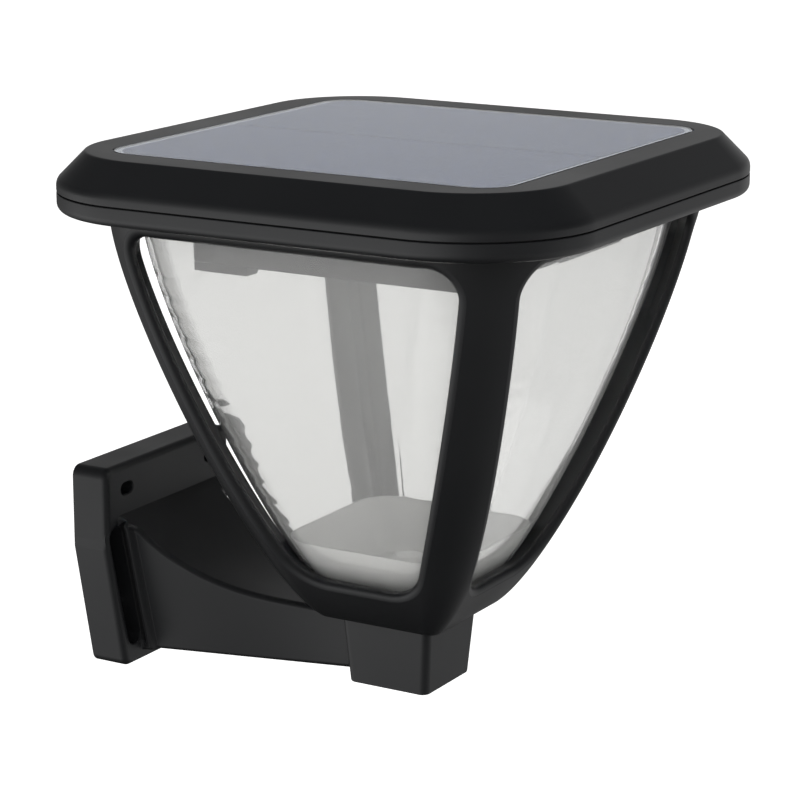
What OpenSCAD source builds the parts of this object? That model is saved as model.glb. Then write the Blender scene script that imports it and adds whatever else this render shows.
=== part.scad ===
// Solar wall light: a square lantern on a swooping arm, with the solar panel in its lid.
// Millimetres. X runs along the wall, -Y points away from it, +Z is up.
// The origin is the middle of the four wall screws, on the wall.

/* [Placement] */
// Distance from the wall to the centre line of the lantern
lantern_reach = 120; // [114:1:150]
// Height of the lantern's seat, above the middle of the wall screws
seat_z = -13; // [-18:1:-8]

/* [Lid] */
// Width of the square lid over its rim
lid_width = 200; // [192:1:220]
// Corner radius of the rim
lid_corner = 45; // [40:1:50]
// Overhang of the rim past the cage
overhang = 14; // [12:0.5:16]
// Height and run of the sloping bevel round the lid's top
lid_bevel = 10; // [7:0.5:12]
// Height of the upright band that the cover has below the bevel
lid_band = 3.6; // [3:0.2:6]
// Height of the tray below the seam
tray_height = 8.4; // [8:0.2:12]
// Rise of the tray's underside from the lantern out to the rim
tray_rise = 1.8; // [1:0.2:3]
// Rounding under the rim
lip_round = 3; // [2:0.5:4]
// Width of the open seam between the cover and the tray
seam_gap = 0.4; // [0.2:0.1:0.8]
// Wall of the lid's mouldings
lid_wall = 2.5; // [2:0.1:3]
// Floor of the tray
tray_floor = 2.2; // [1.8:0.1:3]

/* [Solar panel] */
// Width of the flat border round the square panel
panel_border = 13.5; // [11:0.5:20]
// Corner radius of the panel
panel_corner = 12; // [4:1:20]
// Backing board of the panel
backing_thick = 1.2; // [1:0.1:1.4]
// Thickness of a solar cell
cell_thick = 0.4; // [0.3:0.1:0.5]
// Bare strip between the two cells
cell_gap = 1.6; // [1:0.2:4]
// Clear sheet over the cells
sheet_thick = 0.8; // [0.6:0.1:1.2]
// Bare margin round the cells
cell_margin = 3; // [2:0.5:6]

/* [Light chamber] */
// Width of the square chamber below the lid
chamber_width = 110; // [104:1:116]
// Depth of the chamber below the tray
chamber_depth = 16.6; // [14:0.2:20]
// Wall of the chamber
chamber_wall = 2; // [1.6:0.1:2.6]
// Thickness of the white light plate
light_plate_thick = 2; // [1.5:0.1:3]
// Height of the light plate's corner posts
post_height = 3.5; // [3:0.1:5]
// Thickness of the circuit boards
board_thick = 1.6; // [1:0.1:2]
// Rows of LEDs each way
led_rows = 5; // [3:1:7]
// Distance between LED rows
led_pitch = 18; // [14:1:20]

/* [Battery] */
// Diameter of the cell
battery_d = 18.4; // [17:0.1:18.8]
// Length of the cell
battery_length = 65; // [60:0.5:70]
// Distance of the cell behind the centre line
battery_back = 24; // [18:1:30]

/* [Power button] */
// Diameter of the rubber button
button_d = 7; // [6:0.1:7.4]
// Wall of the collar round the button
collar_wall = 1.4; // [1:0.1:1.6]
// Distance that the button stands out of its collar
button_proud = 2; // [1.6:0.1:3]
// Travel of the button
button_travel = 1.2; // [0.8:0.1:1.6]
// Diameter of the switch's plunger
plunger_d = 3; // [2.5:0.1:3.5]

/* [Cage] */
// Height of the cage
cage_height = 148.6; // [140:0.2:160]
// Half width at the foot of the cage
cage_foot = 20.5; // [19:0.5:24]
// Drop of the curve's upper handle below the top
top_handle = 31; // [20:1:45]
// Inset of the curve's upper handle
top_inset = 1.4; // [0:0.2:6]
// Rise of the curve's lower handle above the foot
foot_handle = 10.7; // [8:0.1:20]
// Spread of the curve's lower handle
foot_spread = 22.6; // [16:0.2:26]
// Corner radius at the top of the cage
cage_corner_top = 40; // [34:1:44]
// Corner radius at the foot of the cage
cage_corner_foot = 3; // [2:0.5:6]
// Depth of the window frames, from the outside to the shade
frame_depth = 7; // [5:0.5:8]
// Width of a corner rib at the top, from the corner to the window
rib_top = 21.5; // [17:0.5:24]
// Width of a corner rib at the foot
rib_foot = 12.5; // [11:0.5:15]
// Height of the ring above the windows
ring_height = 4; // [3.4:0.2:6]
// Height of the window sills above the foot of the cage
sill_height = 17.3; // [16:0.1:24]
// Corner radius of the windows
window_corner = 9; // [4:0.5:12]
// Thickness of the cage's floor
cage_floor = 10; // [9.5:0.5:12]

/* [Shade] */
// Wall of the clear shade
shade_wall = 2; // [1.6:0.1:2.5]
// Corner radius at the top of the shade
shade_corner = 34; // [31:1:40]
// Change of the shade's corner radius for each millimetre of half width
shade_corner_slope = 0.42; // [0.3:0.02:0.5]
// Thickness of the shade's flange
flange_thick = 1.2; // [0.8:0.1:1.4]
// Width of the ledge that carries the flange
flange_width = 4.8; // [3.4:0.2:5]
// Height of the reflector dish's rim above the foot of the cage
dish_height = 31; // [26:1:38]
// Wall of the reflector dish
dish_wall = 1.2; // [1:0.1:1.6]
// Radius of the base of the dish's cone
cone_base = 19; // [16:0.5:20]
// Radius of the cone's tip
cone_tip = 5; // [3:0.5:8]
// Height of the cone above the dish's underside
cone_height = 9; // [6:1:12]

/* [Base block] */
// Half width at the top of the block
block_top = 18.2; // [17:0.2:20]
// Half width at the bottom of the block
block_foot = 16.2; // [15.6:0.2:18]
// Height of the block
block_height = 25.5; // [23:0.5:32]
// Rounding of the block's corners
block_corner = 3; // [2:0.5:4]
// Wall of the block
block_wall = 3; // [2.4:0.2:3.4]
// Web under the lantern's seat
block_web = 4; // [3:0.5:6]
// Thickness of the cap in the block's underside
cap_thick = 2.2; // [1.8:0.2:3]

/* [Arm] */
// Width of the arm's tongue inside the block
tongue_width = 22; // [18:1:24]
// Thickness of the tongue
tongue_thick = 7; // [6:0.5:8]
// Half width of the arm's top where it meets the block
arm_half = 16; // [15.5:0.1:17]
// Half width of the arm's underside where it meets the block
arm_foot_half = 14.5; // [13:0.5:15]
// Extra half width of the arm's top at the wall plate
arm_flare = 14; // [8:1:16]
// Depth of the arm where it meets the block
arm_depth = 20; // [18:0.5:22]
// Rise of the arm's swooping top from the block to the wall plate
arm_rise = 29; // [20:0.5:31]
// Steepness of the swoop at the wall plate
swoop_power = 3.2; // [2.6:0.1:3.6]
// Drop of the arm's underside from the block to the wall plate
arm_drop = 7; // [5:0.5:9.5]
// Growth of the arm's sides over its root
root_flank = 3; // [1:0.5:4]
// Length of the arm's root in front of the wall plate
root_length = 3.3; // [2:0.1:5]
// Wall of the hollow arm
arm_wall = 3; // [2.5:0.5:4]

/* [Wall plate] */
// Width of the wall plate
plate_width = 80; // [76:1:90]
// Width of the wall plate at its bottom
plate_foot_width = 60; // [58:1:70]
// Height of the plate's top above the middle of the screws
plate_top = 33.5; // [32:0.5:40]
// Depth of the plate's bottom below the middle of the screws
plate_bottom = 45; // [44:0.5:52]
// Height at which the sides start to taper
plate_knee = 3; // [0:1:8]
// Thickness of the wall plate
plate_thick = 15.2; // [14:0.2:18]
// Front wall and sides of the hollow plate
plate_wall = 3; // [2.5:0.5:4]
// Corner radius of the plate
plate_corner = 4; // [2:0.5:5]
// Rounding of the plate's front edge
plate_edge = 2.5; // [1:0.5:3]
// Distance between the wall screws, across
screw_pitch_x = 54; // [52:1:58]
// Distance between the wall screws, up and down
screw_pitch_z = 48; // [46:1:52]
// Width of the screw slots
slot_width = 4.5; // [4:0.1:5]
// Length of the screw slots, across
slot_length = 7.4; // [6:0.2:7.4]
// Width of the deep screw pockets beside the arm
pocket_width = 7.8; // [7.6:0.1:8.4]
// Height of a screw pocket's upper end
pocket_top = 10.5; // [6:0.5:12]
// Depth of a screw pocket's lower end
pocket_bottom = 37; // [35:0.5:39]
// Material left behind a screw pocket
pocket_floor = 6; // [4:0.5:8]

/* [Fasteners] */
// Diameter of the small screws' shanks
screw_d = 2.9; // [2.5:0.1:3]
// Diameter of the small screws' heads
head_d = 5.6; // [5:0.1:6]
// Height of the small screws' heads
head_h = 2; // [1.6:0.1:2.4]
// Diameter of the base bolt
bolt_d = 6; // [5:0.1:6.4]
// Diameter of the base bolt's head
bolt_head_d = 10; // [9:0.5:11]
// Height of the base bolt's head
bolt_head_h = 4; // [3:0.2:4.6]

/* [Fits] */
// Gap round pieces that are laid in place
lay_gap = 0.3; // [0.2:0.05:0.4]
// Gap round a shank in the piece that it passes through
pass_gap = 0.25; // [0.2:0.05:0.4]
// Gap of a snug fit, such as a shank in its thread
snug_gap = 0.05; // [0.03:0.01:0.08]
// Gap between the reflector dish and the shade's wall
dish_gap = 0.8; // [0.6:0.1:1.2]

/* [Hidden] */
$fn = 48;

// Heights, from the seat up to the top of the lid
cage_top = lid_width / 2 - overhang;
cage_top_z = seat_z + cage_height;
seam_z = cage_top_z + tray_height;
band_z = seam_z + seam_gap + lid_band;
lid_top_z = band_z + lid_bevel;
tray_top_z = cage_top_z + tray_floor;
flat = lid_width / 2 - lid_corner;

// Panel stack, sunk flush into the cover
panel_width = lid_width - 2 * (lid_bevel + panel_border);
panel_depth = backing_thick + cell_thick + sheet_thick;
cover_floor = 2;
cover_under_z = lid_top_z - panel_depth - cover_floor;
lead_d = 1.8;
lead_hole_d = 5;

// Light chamber
chamber_z = cage_top_z - chamber_depth;
chamber_lip = 1.5;
chamber_lip_width = 3;
chamber_corner = 3;
plate_z = chamber_z + chamber_lip;
led_board_z = plate_z + light_plate_thick + post_height;
led_board_top = led_board_z + board_thick;
chamber_room = chamber_width / 2 - chamber_wall;
board_half = chamber_room - lay_gap;
post_half = 4;
post_at = board_half - post_half - 1;
led_h = 1;
led_size = [3.5, 2.8, led_h];

// Battery holder, on the LED board
holder_floor = 1.6;
holder_wall = 1.6;
battery_z = led_board_top + holder_floor + battery_d / 2;
contact_thick = 0.8;
holder_length = battery_length + 2 * (contact_thick + holder_wall);

// Control board, carried on the LED board by two rows of header pins
header_h = 6;
header_thick = 2.6;
header_length = 20;
control_z = led_board_top + header_h;
control_width = 78;
control_depth = 30;
control_y = -chamber_room + control_depth / 2 + 8;
lead_x = control_width * 0.15;
lead_y = control_y;
chip_size = [10, 8, 1.8];
coil_size = [9, 9, 4.5];
capacitor_d = 7;
capacitor_h = 9;
board_hole_d = 3;

// Power button, under the lid's overhang at the right
collar_d = button_d + 2 * collar_wall;
button_at = cage_top + lay_gap + collar_d / 2;
button_rim = 0.6;
collar_z = cage_top_z - 0.6;
collar_top = cage_top_z + tray_rise + tray_floor;
button_flange = 1.2;
switch_gap = button_travel + 0.6;
switch_h = 4.3;
switch_z = collar_top + button_flange + switch_gap;
switch_half = 3;
switch_board_z = switch_z + switch_h;
stand_at = 8;

// Screws through the overhang and down into the cage
screw_inset = 11.8;
lid_screw_at = flat + (lid_corner - screw_inset) * cos(45);
cage_screw_inset = 4.5;
cage_screw_at = cage_top - cage_corner_top + (cage_corner_top - cage_screw_inset) * cos(45);
pillar_d = 7.4;
recess_top = cage_top_z + tray_rise + head_h;
pillar_z = recess_top + 2.4;
lid_screw_length = 11;
cage_screw_length = 15;

// Shade and cavity
cavity_z = cage_floor;
shade_gap = frame_depth + lay_gap;
ledge_drop = flange_thick + 0.8;
ledge_h = cage_height - ledge_drop;
shade_top_half = cage_top - shade_gap;
flange_half = cage_top - frame_depth + flange_width;
flange_corner = cage_corner_top - (cage_top - flange_half);
seal_thick = ledge_drop - flange_thick;
shade_foot = cavity_z + lay_gap;
dish_z = shade_foot + shade_wall;

// Wire cover, from the chamber's corner to well short of the shade
cover_size = [9, 22, 3];
cover_clear = 22;
cover_reach = min(chamber_width / 2 - 1, shade_top_half - shade_wall - cover_clear);

// Base block and its bolt
insert_h = 8;
insert_r = 4.2;
web_z = seat_z - block_web;
tongue_z = web_z - tongue_thick;
washer_thick = 1.2;
washer_r = bolt_head_d / 2 + 1;
bolt_z = tongue_z - washer_thick;
cap_rebate = 1.4;

// Arm, by distance from the wall
arm_end = lantern_reach - block_top + 1.3;
arm_top_z = seat_z - 1.3;
arm_foot_z = arm_top_z - arm_depth;
arm_round = 2.2;
foot_flare = 2.5;
level_share = 0.1;
level_end = 12;
root_ramp = 1.6;
core_end = arm_end - 32;

// Places of the wall screws
slot_x = screw_pitch_x / 2;
slot_z = screw_pitch_z / 2;
pocket_lean = (plate_width - plate_foot_width) / 2 / (plate_knee + plate_bottom);

// Points and solids that several pieces share

function bezier(a, b, c, d, t) = (1 - t)^3 * a + 3 * t * (1 - t)^2 * b + 3 * t^2 * (1 - t) * c + t^3 * d;

function arc(x, y, r, from, to, steps = 4) =
    [for (i = [0:steps]) let (a = from + (to - from) * i / steps) [x + r * cos(a), y + r * sin(a)]];

// Ring of a rounded square, at height z
function ring(half, corner, z, steps = 9) =
    [for (q = [0:3], i = [0:steps])
        let (a = 90 * q + 90 * i / steps, s = sign(cos(90 * q + 45)), t = sign(sin(90 * q + 45)), c = half - corner)
        [s * c + corner * cos(a), t * c + corner * sin(a), z]];

module loft(rings) {
    n = len(rings[0]);
    last = (len(rings) - 1) * n;
    polyhedron(
        points = [for (r = rings) each r],
        faces = concat(
            [[for (i = [0:n - 1]) i]],
            [for (s = [0:len(rings) - 2], i = [0:n - 1])
                let (a = s * n + i, b = s * n + (i + 1) % n)
                each [[a, a + n, b + n], [a, b + n, b]]],
            [[for (i = [n - 1:-1:0]) last + i]]
        )
    );
}

// Outline of the cage, from its foot up: half width and height at curve value t
function cage_half(t) = bezier(cage_foot, cage_foot + foot_spread, cage_top - top_inset, cage_top, t);
function cage_h(t) = bezier(0, foot_handle, cage_height - top_handle, cage_height, t);
function t_at(h, low = 0, high = 1, n = 22) =
    n == 0 ? (low + high) / 2
        : cage_h((low + high) / 2) < h ? t_at(h, (low + high) / 2, high, n - 1)
        : t_at(h, low, (low + high) / 2, n - 1);
function half_at(h) = cage_half(t_at(h));
function cage_corner(half) =
    cage_corner_foot + (cage_corner_top - cage_corner_foot) * (half - cage_foot) / (cage_top - cage_foot);
function shade_corner_at(half) = min(half - 1, shade_corner - (shade_top_half - half) * shade_corner_slope);

// Body of the shade, grown by extra, from height low to height high above the cage's foot
module shade_body(extra, low, high, stations = 16) {
    t0 = t_at(low);
    t1 = t_at(high);
    loft([for (i = [0:stations])
        let (t = t0 + (t1 - t0) * i / stations, half = cage_half(t) - shade_gap)
        ring(half + extra, shade_corner_at(half) + extra, seat_z + cage_h(t))]);
}

// Square solid with revolved corners, from a profile of distance past the corner's centre and height
module square_turned() {
    for (q = [0:3]) rotate(90 * q) {
        translate([flat, flat]) rotate_extrude(angle = 90) intersection() {
            children();
            translate([0, -lid_width]) square(4 * lid_width);
        }
        rotate([90, 0, 0]) linear_extrude(2 * flat, center = true) translate([flat, 0]) children();
    }
}

module rounded_plate(half, corner, z, thick) {
    translate([0, 0, z]) linear_extrude(thick) {
        square([2 * half, 2 * (half - corner)], center = true);
        square([2 * (half - corner), 2 * half], center = true);
        for (x = [-1, 1], y = [-1, 1]) translate([x, y] * (half - corner)) circle(corner);
    }
}

module at_lantern() {
    translate([0, -lantern_reach, 0]) children();
}

module at_corners(where) {
    for (x = [-1, 1], y = [-1, 1]) translate([x * where, y * where, 0]) children();
}

module screw(z, length, up) {
    translate([0, 0, z]) mirror([0, 0, up ? 0 : 1]) {
        translate([0, 0, -head_h]) cylinder(d = head_d, h = head_h);
        translate([0, 0, -0.1]) cylinder(d = screw_d, h = length + 0.1);
    }
}

// Lid

module cover_profile() {
    r = lid_corner;
    bevel_r = r - lid_bevel;
    under = lid_top_z - cover_under_z;
    inner = bevel_r + under - 1.414 * lid_wall;
    polygon(concat(
        [[-flat, lid_top_z]],
        arc(bevel_r - 0.6, lid_top_z - 1.5, 1.5, 90, 45, 3),
        arc(r - 4, band_z - 1.66, 4, 45, 0, 4),
        [[r, seam_z + seam_gap], [r - 1.1, seam_z + seam_gap], [r - 1.1, seam_z + 1.2],
            [r - lid_wall, seam_z + 1.2], [r - lid_wall, band_z - 1], [inner, cover_under_z],
            [-flat, cover_under_z]]
    ));
}

module lid_cover() {
    color("#1f2022") at_lantern() {
        difference() {
            square_turned() cover_profile();
            rounded_plate(panel_width / 2 + lay_gap, panel_corner + lay_gap, lid_top_z - panel_depth,
                panel_depth + 1);
            for (s = [-1, 1]) translate([s * lead_x, lead_y, cover_under_z - 1])
                cylinder(d = lead_hole_d, h = panel_depth + 3);
        }
        at_corners(lid_screw_at) difference() {
            translate([0, 0, pillar_z]) cylinder(d = pillar_d, h = cover_under_z - pillar_z + 0.5);
            translate([0, 0, pillar_z - 1]) cylinder(d = screw_d + 2 * snug_gap, h = lid_screw_length + 1);
        }
    }
}

module tray_profile() {
    r = lid_corner;
    lip_z = cage_top_z + tray_rise;
    land = cage_top + 1 - flat;
    polygon(concat(
        [[-flat, cage_top_z], [land, cage_top_z]],
        arc(r - lip_round, lip_z + lip_round, lip_round, -90, 0),
        [[r, seam_z], [r - lid_wall - lay_gap, seam_z], [r - lid_wall - lay_gap, seam_z + 2],
            [r - lid_wall - lay_gap - 1.5, seam_z + 2], [r - lid_wall - lay_gap - 1.5, lip_z + tray_floor],
            [land, tray_top_z], [-flat, tray_top_z]]
    ));
}

module lid_tray() {
    color("#262729") at_lantern() {
        difference() {
            union() {
                square_turned() tray_profile();
                rounded_plate(chamber_width / 2, chamber_corner, chamber_z, chamber_depth + tray_floor);
                at_corners(lid_screw_at) translate([0, 0, cage_top_z + tray_rise])
                    cylinder(d = pillar_d + 2, h = pillar_z - cage_top_z - tray_rise);
                translate([button_at, 0, collar_z]) cylinder(d = collar_d, h = collar_top - collar_z);
                for (s = [-1, 1]) translate([button_at, s * stand_at, cage_top_z + tray_rise])
                    cylinder(d = 3.6, h = switch_board_z - cage_top_z - tray_rise);
            }
            rounded_plate(chamber_room, 1, plate_z, chamber_depth + tray_height);
            rounded_plate(chamber_room - chamber_lip_width, 1, chamber_z - 1, chamber_lip + 2);
            at_corners(lid_screw_at) {
                translate([0, 0, cage_top_z - 3])
                    cylinder(d = head_d + 2 * lay_gap, h = recess_top - cage_top_z + 3);
                translate([0, 0, cage_top_z]) cylinder(d = screw_d + 2 * pass_gap, h = tray_height + 3);
            }
            at_corners(cage_screw_at)
                translate([0, 0, cage_top_z - 1]) cylinder(d = screw_d + 2 * pass_gap, h = tray_floor + 2);
            translate([button_at, 0, collar_z - 1]) cylinder(d = button_d + 2 * snug_gap, h = tray_height);
        }
    }
}

module lid_seal() {
    color("#101010") at_lantern() square_turned()
        translate([lid_corner - lid_wall + 0.1, seam_z]) square([lid_wall - 1.3, 1.2]);
}

module lid_screws() {
    color("silver") at_lantern() at_corners(lid_screw_at) screw(recess_top, lid_screw_length - 1, true);
}

// Solar panel

module panel_backing() {
    color("#1b2433") at_lantern() difference() {
        rounded_plate(panel_width / 2, panel_corner, lid_top_z - panel_depth, backing_thick);
        for (s = [-1, 1]) translate([s * lead_x, lead_y, lid_top_z - panel_depth - 1])
            cylinder(d = lead_d + 2 * snug_gap, h = backing_thick + 2);
    }
}

module solar_cell(side) {
    half = panel_width / 2 - cell_margin;
    color("#4f5a72") at_lantern() intersection() {
        rounded_plate(half, max(1, panel_corner - cell_margin), lid_top_z - sheet_thick - cell_thick, cell_thick);
        translate([side > 0 ? cell_gap / 2 : -half, -half, lid_top_z - 5])
            cube([half - cell_gap / 2, 2 * half, 5]);
    }
}

module solar_cell_left() {
    solar_cell(-1);
}

module solar_cell_right() {
    solar_cell(1);
}

module panel_sheet() {
    color("#8fa0b8", 0.4) at_lantern()
        rounded_plate(panel_width / 2, panel_corner, lid_top_z - sheet_thick, sheet_thick);
}

module panel_leads() {
    color("#b01818") at_lantern() for (s = [-1, 1]) translate([s * lead_x, lead_y, control_z + board_thick])
        cylinder(d = lead_d, h = lid_top_z - sheet_thick - cell_thick - control_z - board_thick);
}

// Light chamber, from the battery down to the light plate

module battery() {
    color("#2f6fa8") at_lantern() translate([0, battery_back, battery_z]) rotate([0, 90, 0]) {
        cylinder(d = battery_d, h = battery_length - 1.6, center = true);
        cylinder(d = battery_d * 0.4, h = battery_length, center = true);
    }
}

module battery_holder() {
    half = battery_d / 2 + holder_wall + lay_gap;
    color("#2a2a2c") at_lantern() translate([0, battery_back, led_board_top]) difference() {
        translate([-holder_length / 2, -half, 0]) cube([holder_length, 2 * half, holder_floor + battery_d * 0.6]);
        translate([0, 0, holder_floor + battery_d / 2]) rotate([0, 90, 0])
            cylinder(d = battery_d + 2 * snug_gap, h = battery_length + 2 * contact_thick, center = true);
        translate([-battery_length / 2 - contact_thick, -half + holder_wall, holder_floor + battery_d / 2])
            cube([battery_length + 2 * contact_thick, 2 * (half - holder_wall), battery_d]);
        for (s = [-1, 1]) translate([s * holder_length * 0.2, 0, holder_floor + battery_d])
            cube([holder_length * 0.16, 3 * half, battery_d * 1.3], center = true);
    }
}

module battery_contacts() {
    reach = battery_length / 2 + contact_thick / 2;
    color("#c9b37a") at_lantern() for (s = [-1, 1]) translate([s * reach, battery_back, battery_z]) {
        rotate([0, 90, 0]) cylinder(d = battery_d * 0.75, h = contact_thick - 0.1, center = true);
    }
}

module control_board() {
    top = control_z + board_thick;
    color("#1d6b3a") at_lantern() translate([0, control_y, 0]) {
        difference() {
            translate([-control_width / 2, -control_depth / 2, control_z])
                cube([control_width, control_depth, board_thick]);
            for (s = [-1, 1]) translate([s * control_width * 0.38, 0, control_z - 1])
                cylinder(d = board_hole_d, h = board_thick + 2);
        }
        translate([-chip_size[0] / 2, control_depth * 0.1, top]) cube(chip_size);
        translate([control_width * 0.26, control_depth * 0.2, top]) cylinder(d = capacitor_d, h = capacitor_h);
        translate([-control_width * 0.36, -control_depth * 0.4, top]) cube(coil_size);
        for (s = [-1, 1])
            translate([s * control_width * 0.45 - header_thick / 2, -header_length / 2, led_board_top])
                cube([header_thick, header_length, header_h]);
    }
}

module led_board() {
    color("#e8e8e4") at_lantern() difference() {
        rounded_plate(board_half, 1, led_board_z, board_thick);
        at_corners(post_at) translate([0, 0, led_board_z - 1])
            cylinder(d = screw_d + 2 * pass_gap, h = board_thick + 2);
    }
}

module leds() {
    color("#f3e07a") at_lantern() for (i = [0:led_rows - 1], j = [0:led_rows - 1])
        translate([i - (led_rows - 1) / 2, j - (led_rows - 1) / 2, 0] * led_pitch)
            translate([0, 0, led_board_z - led_h / 2]) cube(led_size, center = true);
}

module board_screws() {
    color("silver") at_lantern() at_corners(post_at) screw(led_board_top, board_thick + post_height - 0.5, false);
}

module light_plate() {
    color("#f2f2ee") at_lantern() {
        rounded_plate(board_half, 1, plate_z, light_plate_thick);
        at_corners(post_at) translate([0, 0, plate_z + light_plate_thick]) difference() {
            translate([-post_half, -post_half, 0]) cube([2 * post_half, 2 * post_half, post_height]);
            cylinder(d = screw_d + 2 * snug_gap, h = post_height + 1);
        }
    }
}

// Small cover over the chamber's cable joint, at its back left corner
module wire_cover() {
    color("#3a3a3c") at_lantern()
        translate([-cover_reach, cover_reach - cover_size[1], chamber_z - cover_size[2]]) difference() {
            cube(cover_size);
            translate([cover_size[0] * 0.65, -1, -1]) rotate([0, 30, 0])
                cube([cover_size[0], cover_size[1] + 2, 3 * cover_size[2]]);
        }
}

// Power button and its switch

module power_button() {
    color("#17181a") at_lantern() translate([button_at, 0, 0]) {
        translate([0, 0, collar_z - button_proud])
            cylinder(d = button_d, h = collar_top - collar_z + button_proud);
        translate([0, 0, collar_top]) cylinder(d = button_d + 2 * button_rim, h = button_flange);
    }
}

module switch_plunger() {
    color("#d8d8d8") at_lantern() translate([button_at, 0, collar_top + button_flange])
        cylinder(d = plunger_d, h = switch_gap + button_travel + 0.6);
}

module switch_body() {
    color("#2b2b2b") at_lantern() translate([button_at, 0, switch_z]) difference() {
        translate([-switch_half, -switch_half, 0]) cube([2 * switch_half, 2 * switch_half, switch_h]);
        translate([0, 0, -1]) cylinder(d = plunger_d + 2 * snug_gap, h = 2 * button_travel + 2);
    }
}

module switch_board() {
    color("#1d6b3a") at_lantern() translate([button_at - switch_half, -stand_at - 2.5, switch_board_z])
        cube([2 * switch_half, 2 * stand_at + 5, 1.2]);
}

// Shade and cage

module shade_seal() {
    z = cage_top_z - seal_thick;
    color("#101010") at_lantern() difference() {
        rounded_plate(flange_half, flange_corner, z, seal_thick);
        rounded_plate(flange_half - flange_width - shade_wall, shade_corner - shade_wall, z - 1,
            seal_thick + 2);
        at_corners(cage_screw_at) translate([0, 0, z - 1])
            cylinder(d = screw_d + 2 * pass_gap, h = seal_thick + 2);
    }
}

module shade() {
    z = seat_z + ledge_h;
    color("#dfe6ea", 0.35) at_lantern() difference() {
        union() {
            shade_body(0, shade_foot, ledge_h + flange_thick / 2);
            rounded_plate(flange_half, flange_corner, z, flange_thick);
        }
        shade_body(-shade_wall, shade_foot + shade_wall, cage_height);
        at_corners(cage_screw_at) translate([0, 0, z - 1])
            cylinder(d = screw_d + 2 * pass_gap, h = flange_thick + 2);
    }
}

// Window opening, seen from outside: its sides follow the cage's curve, less the ribs
module window_outline() {
    low = sill_height;
    high = cage_height - ring_height;
    rib = function (h) let (half = half_at(h))
        half - rib_foot - (rib_top - rib_foot) * (half - cage_foot) / (cage_top - cage_foot);
    side = [for (i = [0:14]) let (h = low + (high - low) * i / 14) [rib(h), seat_z + h]];
    offset(r = window_corner) offset(delta = -window_corner)
        polygon(concat(side, [for (i = [14:-1:0]) [-side[i][0], side[i][1]]]));
}

module cage() {
    color("#1c1d1f") at_lantern() difference() {
        loft([for (i = [0:18])
            let (t = i / 18, half = cage_half(t))
            ring(half, cage_corner(half), seat_z + cage_h(t))]);
        shade_body(lay_gap, cavity_z, cage_height);
        rounded_plate(flange_half + lay_gap, flange_corner + lay_gap, seat_z + ledge_h, ledge_drop + 1);
        for (a = [0:90:270]) rotate(a) rotate([90, 0, 0]) linear_extrude(cage_top + 5) window_outline();
        at_corners(cage_screw_at) translate([0, 0, cage_top_z - cage_screw_length - 1])
            cylinder(d = screw_d + 2 * snug_gap, h = cage_screw_length + 2);
        translate([0, 0, seat_z - 1]) cylinder(r = insert_r + snug_gap, h = insert_h + 1);
    }
}

module cage_screws() {
    color("silver") at_lantern() at_corners(cage_screw_at) screw(tray_top_z, cage_screw_length, false);
}

// White reflector dish on the shade's floor, with the low cone that throws the light outwards
module light_cone() {
    side = shade_wall + dish_gap;
    color("#eceeee") at_lantern() {
        difference() {
            shade_body(-side, dish_z, dish_height, 8);
            shade_body(-side - dish_wall, dish_z + dish_wall, dish_height + 6, 9);
        }
        translate([0, 0, seat_z + dish_z + dish_wall / 2]) rotate_extrude() polygon(concat(
            [[0, 0], [cone_base, 0], [cone_base, dish_wall]],
            [for (i = [1:8])
                let (u = i / 8, rise = cone_height - 1.5 * dish_wall)
                [cone_base + (cone_tip - cone_base) * u, dish_wall + rise * u ^ 1.25]],
            [[0, cone_height - dish_wall / 2]]
        ));
    }
}

// Base block, with the bolt that holds the lantern, the block and the arm together

module block_solid(grow) {
    loft([for (i = [0, 1]) ring(i == 0 ? block_foot - grow : block_top - grow, block_corner,
        i == 0 ? seat_z - block_height : seat_z, 3)]);
}

module base_insert() {
    color("#b08d3c") at_lantern() translate([0, 0, seat_z]) difference() {
        cylinder(r = insert_r, h = insert_h);
        translate([0, 0, -1]) cylinder(d = bolt_d + 2 * snug_gap, h = insert_h + 2);
    }
}

module base_block() {
    inner = block_foot - block_wall;
    bottom = seat_z - block_height;
    color("#222325") difference() {
        at_lantern() block_solid(0);
        at_lantern() translate([-inner, -inner, bottom - 1]) cube([2 * inner, 2 * inner, web_z - bottom + 1]);
        at_lantern() translate([-inner - cap_rebate, -inner - cap_rebate, bottom - 1])
            cube([2 * (inner + cap_rebate), 2 * (inner + cap_rebate), cap_thick + 1]);
        at_lantern() translate([0, 0, web_z - 1]) cylinder(d = bolt_d + 2 * pass_gap, h = block_web + 2);
        at_lantern() translate([-tongue_width / 2 - snug_gap, 0, tongue_z - snug_gap])
            cube([tongue_width + 2 * snug_gap, block_top + 2, tongue_thick + snug_gap]);
        arm_solid(lay_gap / 2, arm_end - block_wall, arm_end + lay_gap / 2);
        translate([-arm_half + arm_round, -arm_end - lay_gap / 2, arm_top_z - 1])
            cube([2 * (arm_half - arm_round), block_wall, seat_z - arm_top_z + 2]);
    }
}

module base_bolt() {
    color("silver") at_lantern() {
        translate([0, 0, bolt_z - bolt_head_h]) difference() {
            cylinder(d = bolt_head_d, h = bolt_head_h);
            translate([0, 0, -1]) cylinder(d = bolt_d * 0.83, h = 3.2, $fn = 6);
        }
        translate([0, 0, bolt_z - 0.1]) cylinder(d = bolt_d, h = seat_z + insert_h - bolt_z + 0.1);
    }
}

module base_washer() {
    color("#c8c8c8") at_lantern() translate([0, 0, bolt_z]) difference() {
        cylinder(r = washer_r, h = washer_thick);
        translate([0, 0, -1]) cylinder(d = bolt_d + 2 * pass_gap, h = washer_thick + 2);
    }
}

module base_cap() {
    half = block_foot - block_wall + cap_rebate - lay_gap / 2;
    color("#222325") at_lantern() rounded_plate(half, 0.6, seat_z - block_height, cap_thick);
}

// Wall bracket: the arm and the wall plate in one moulding

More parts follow.
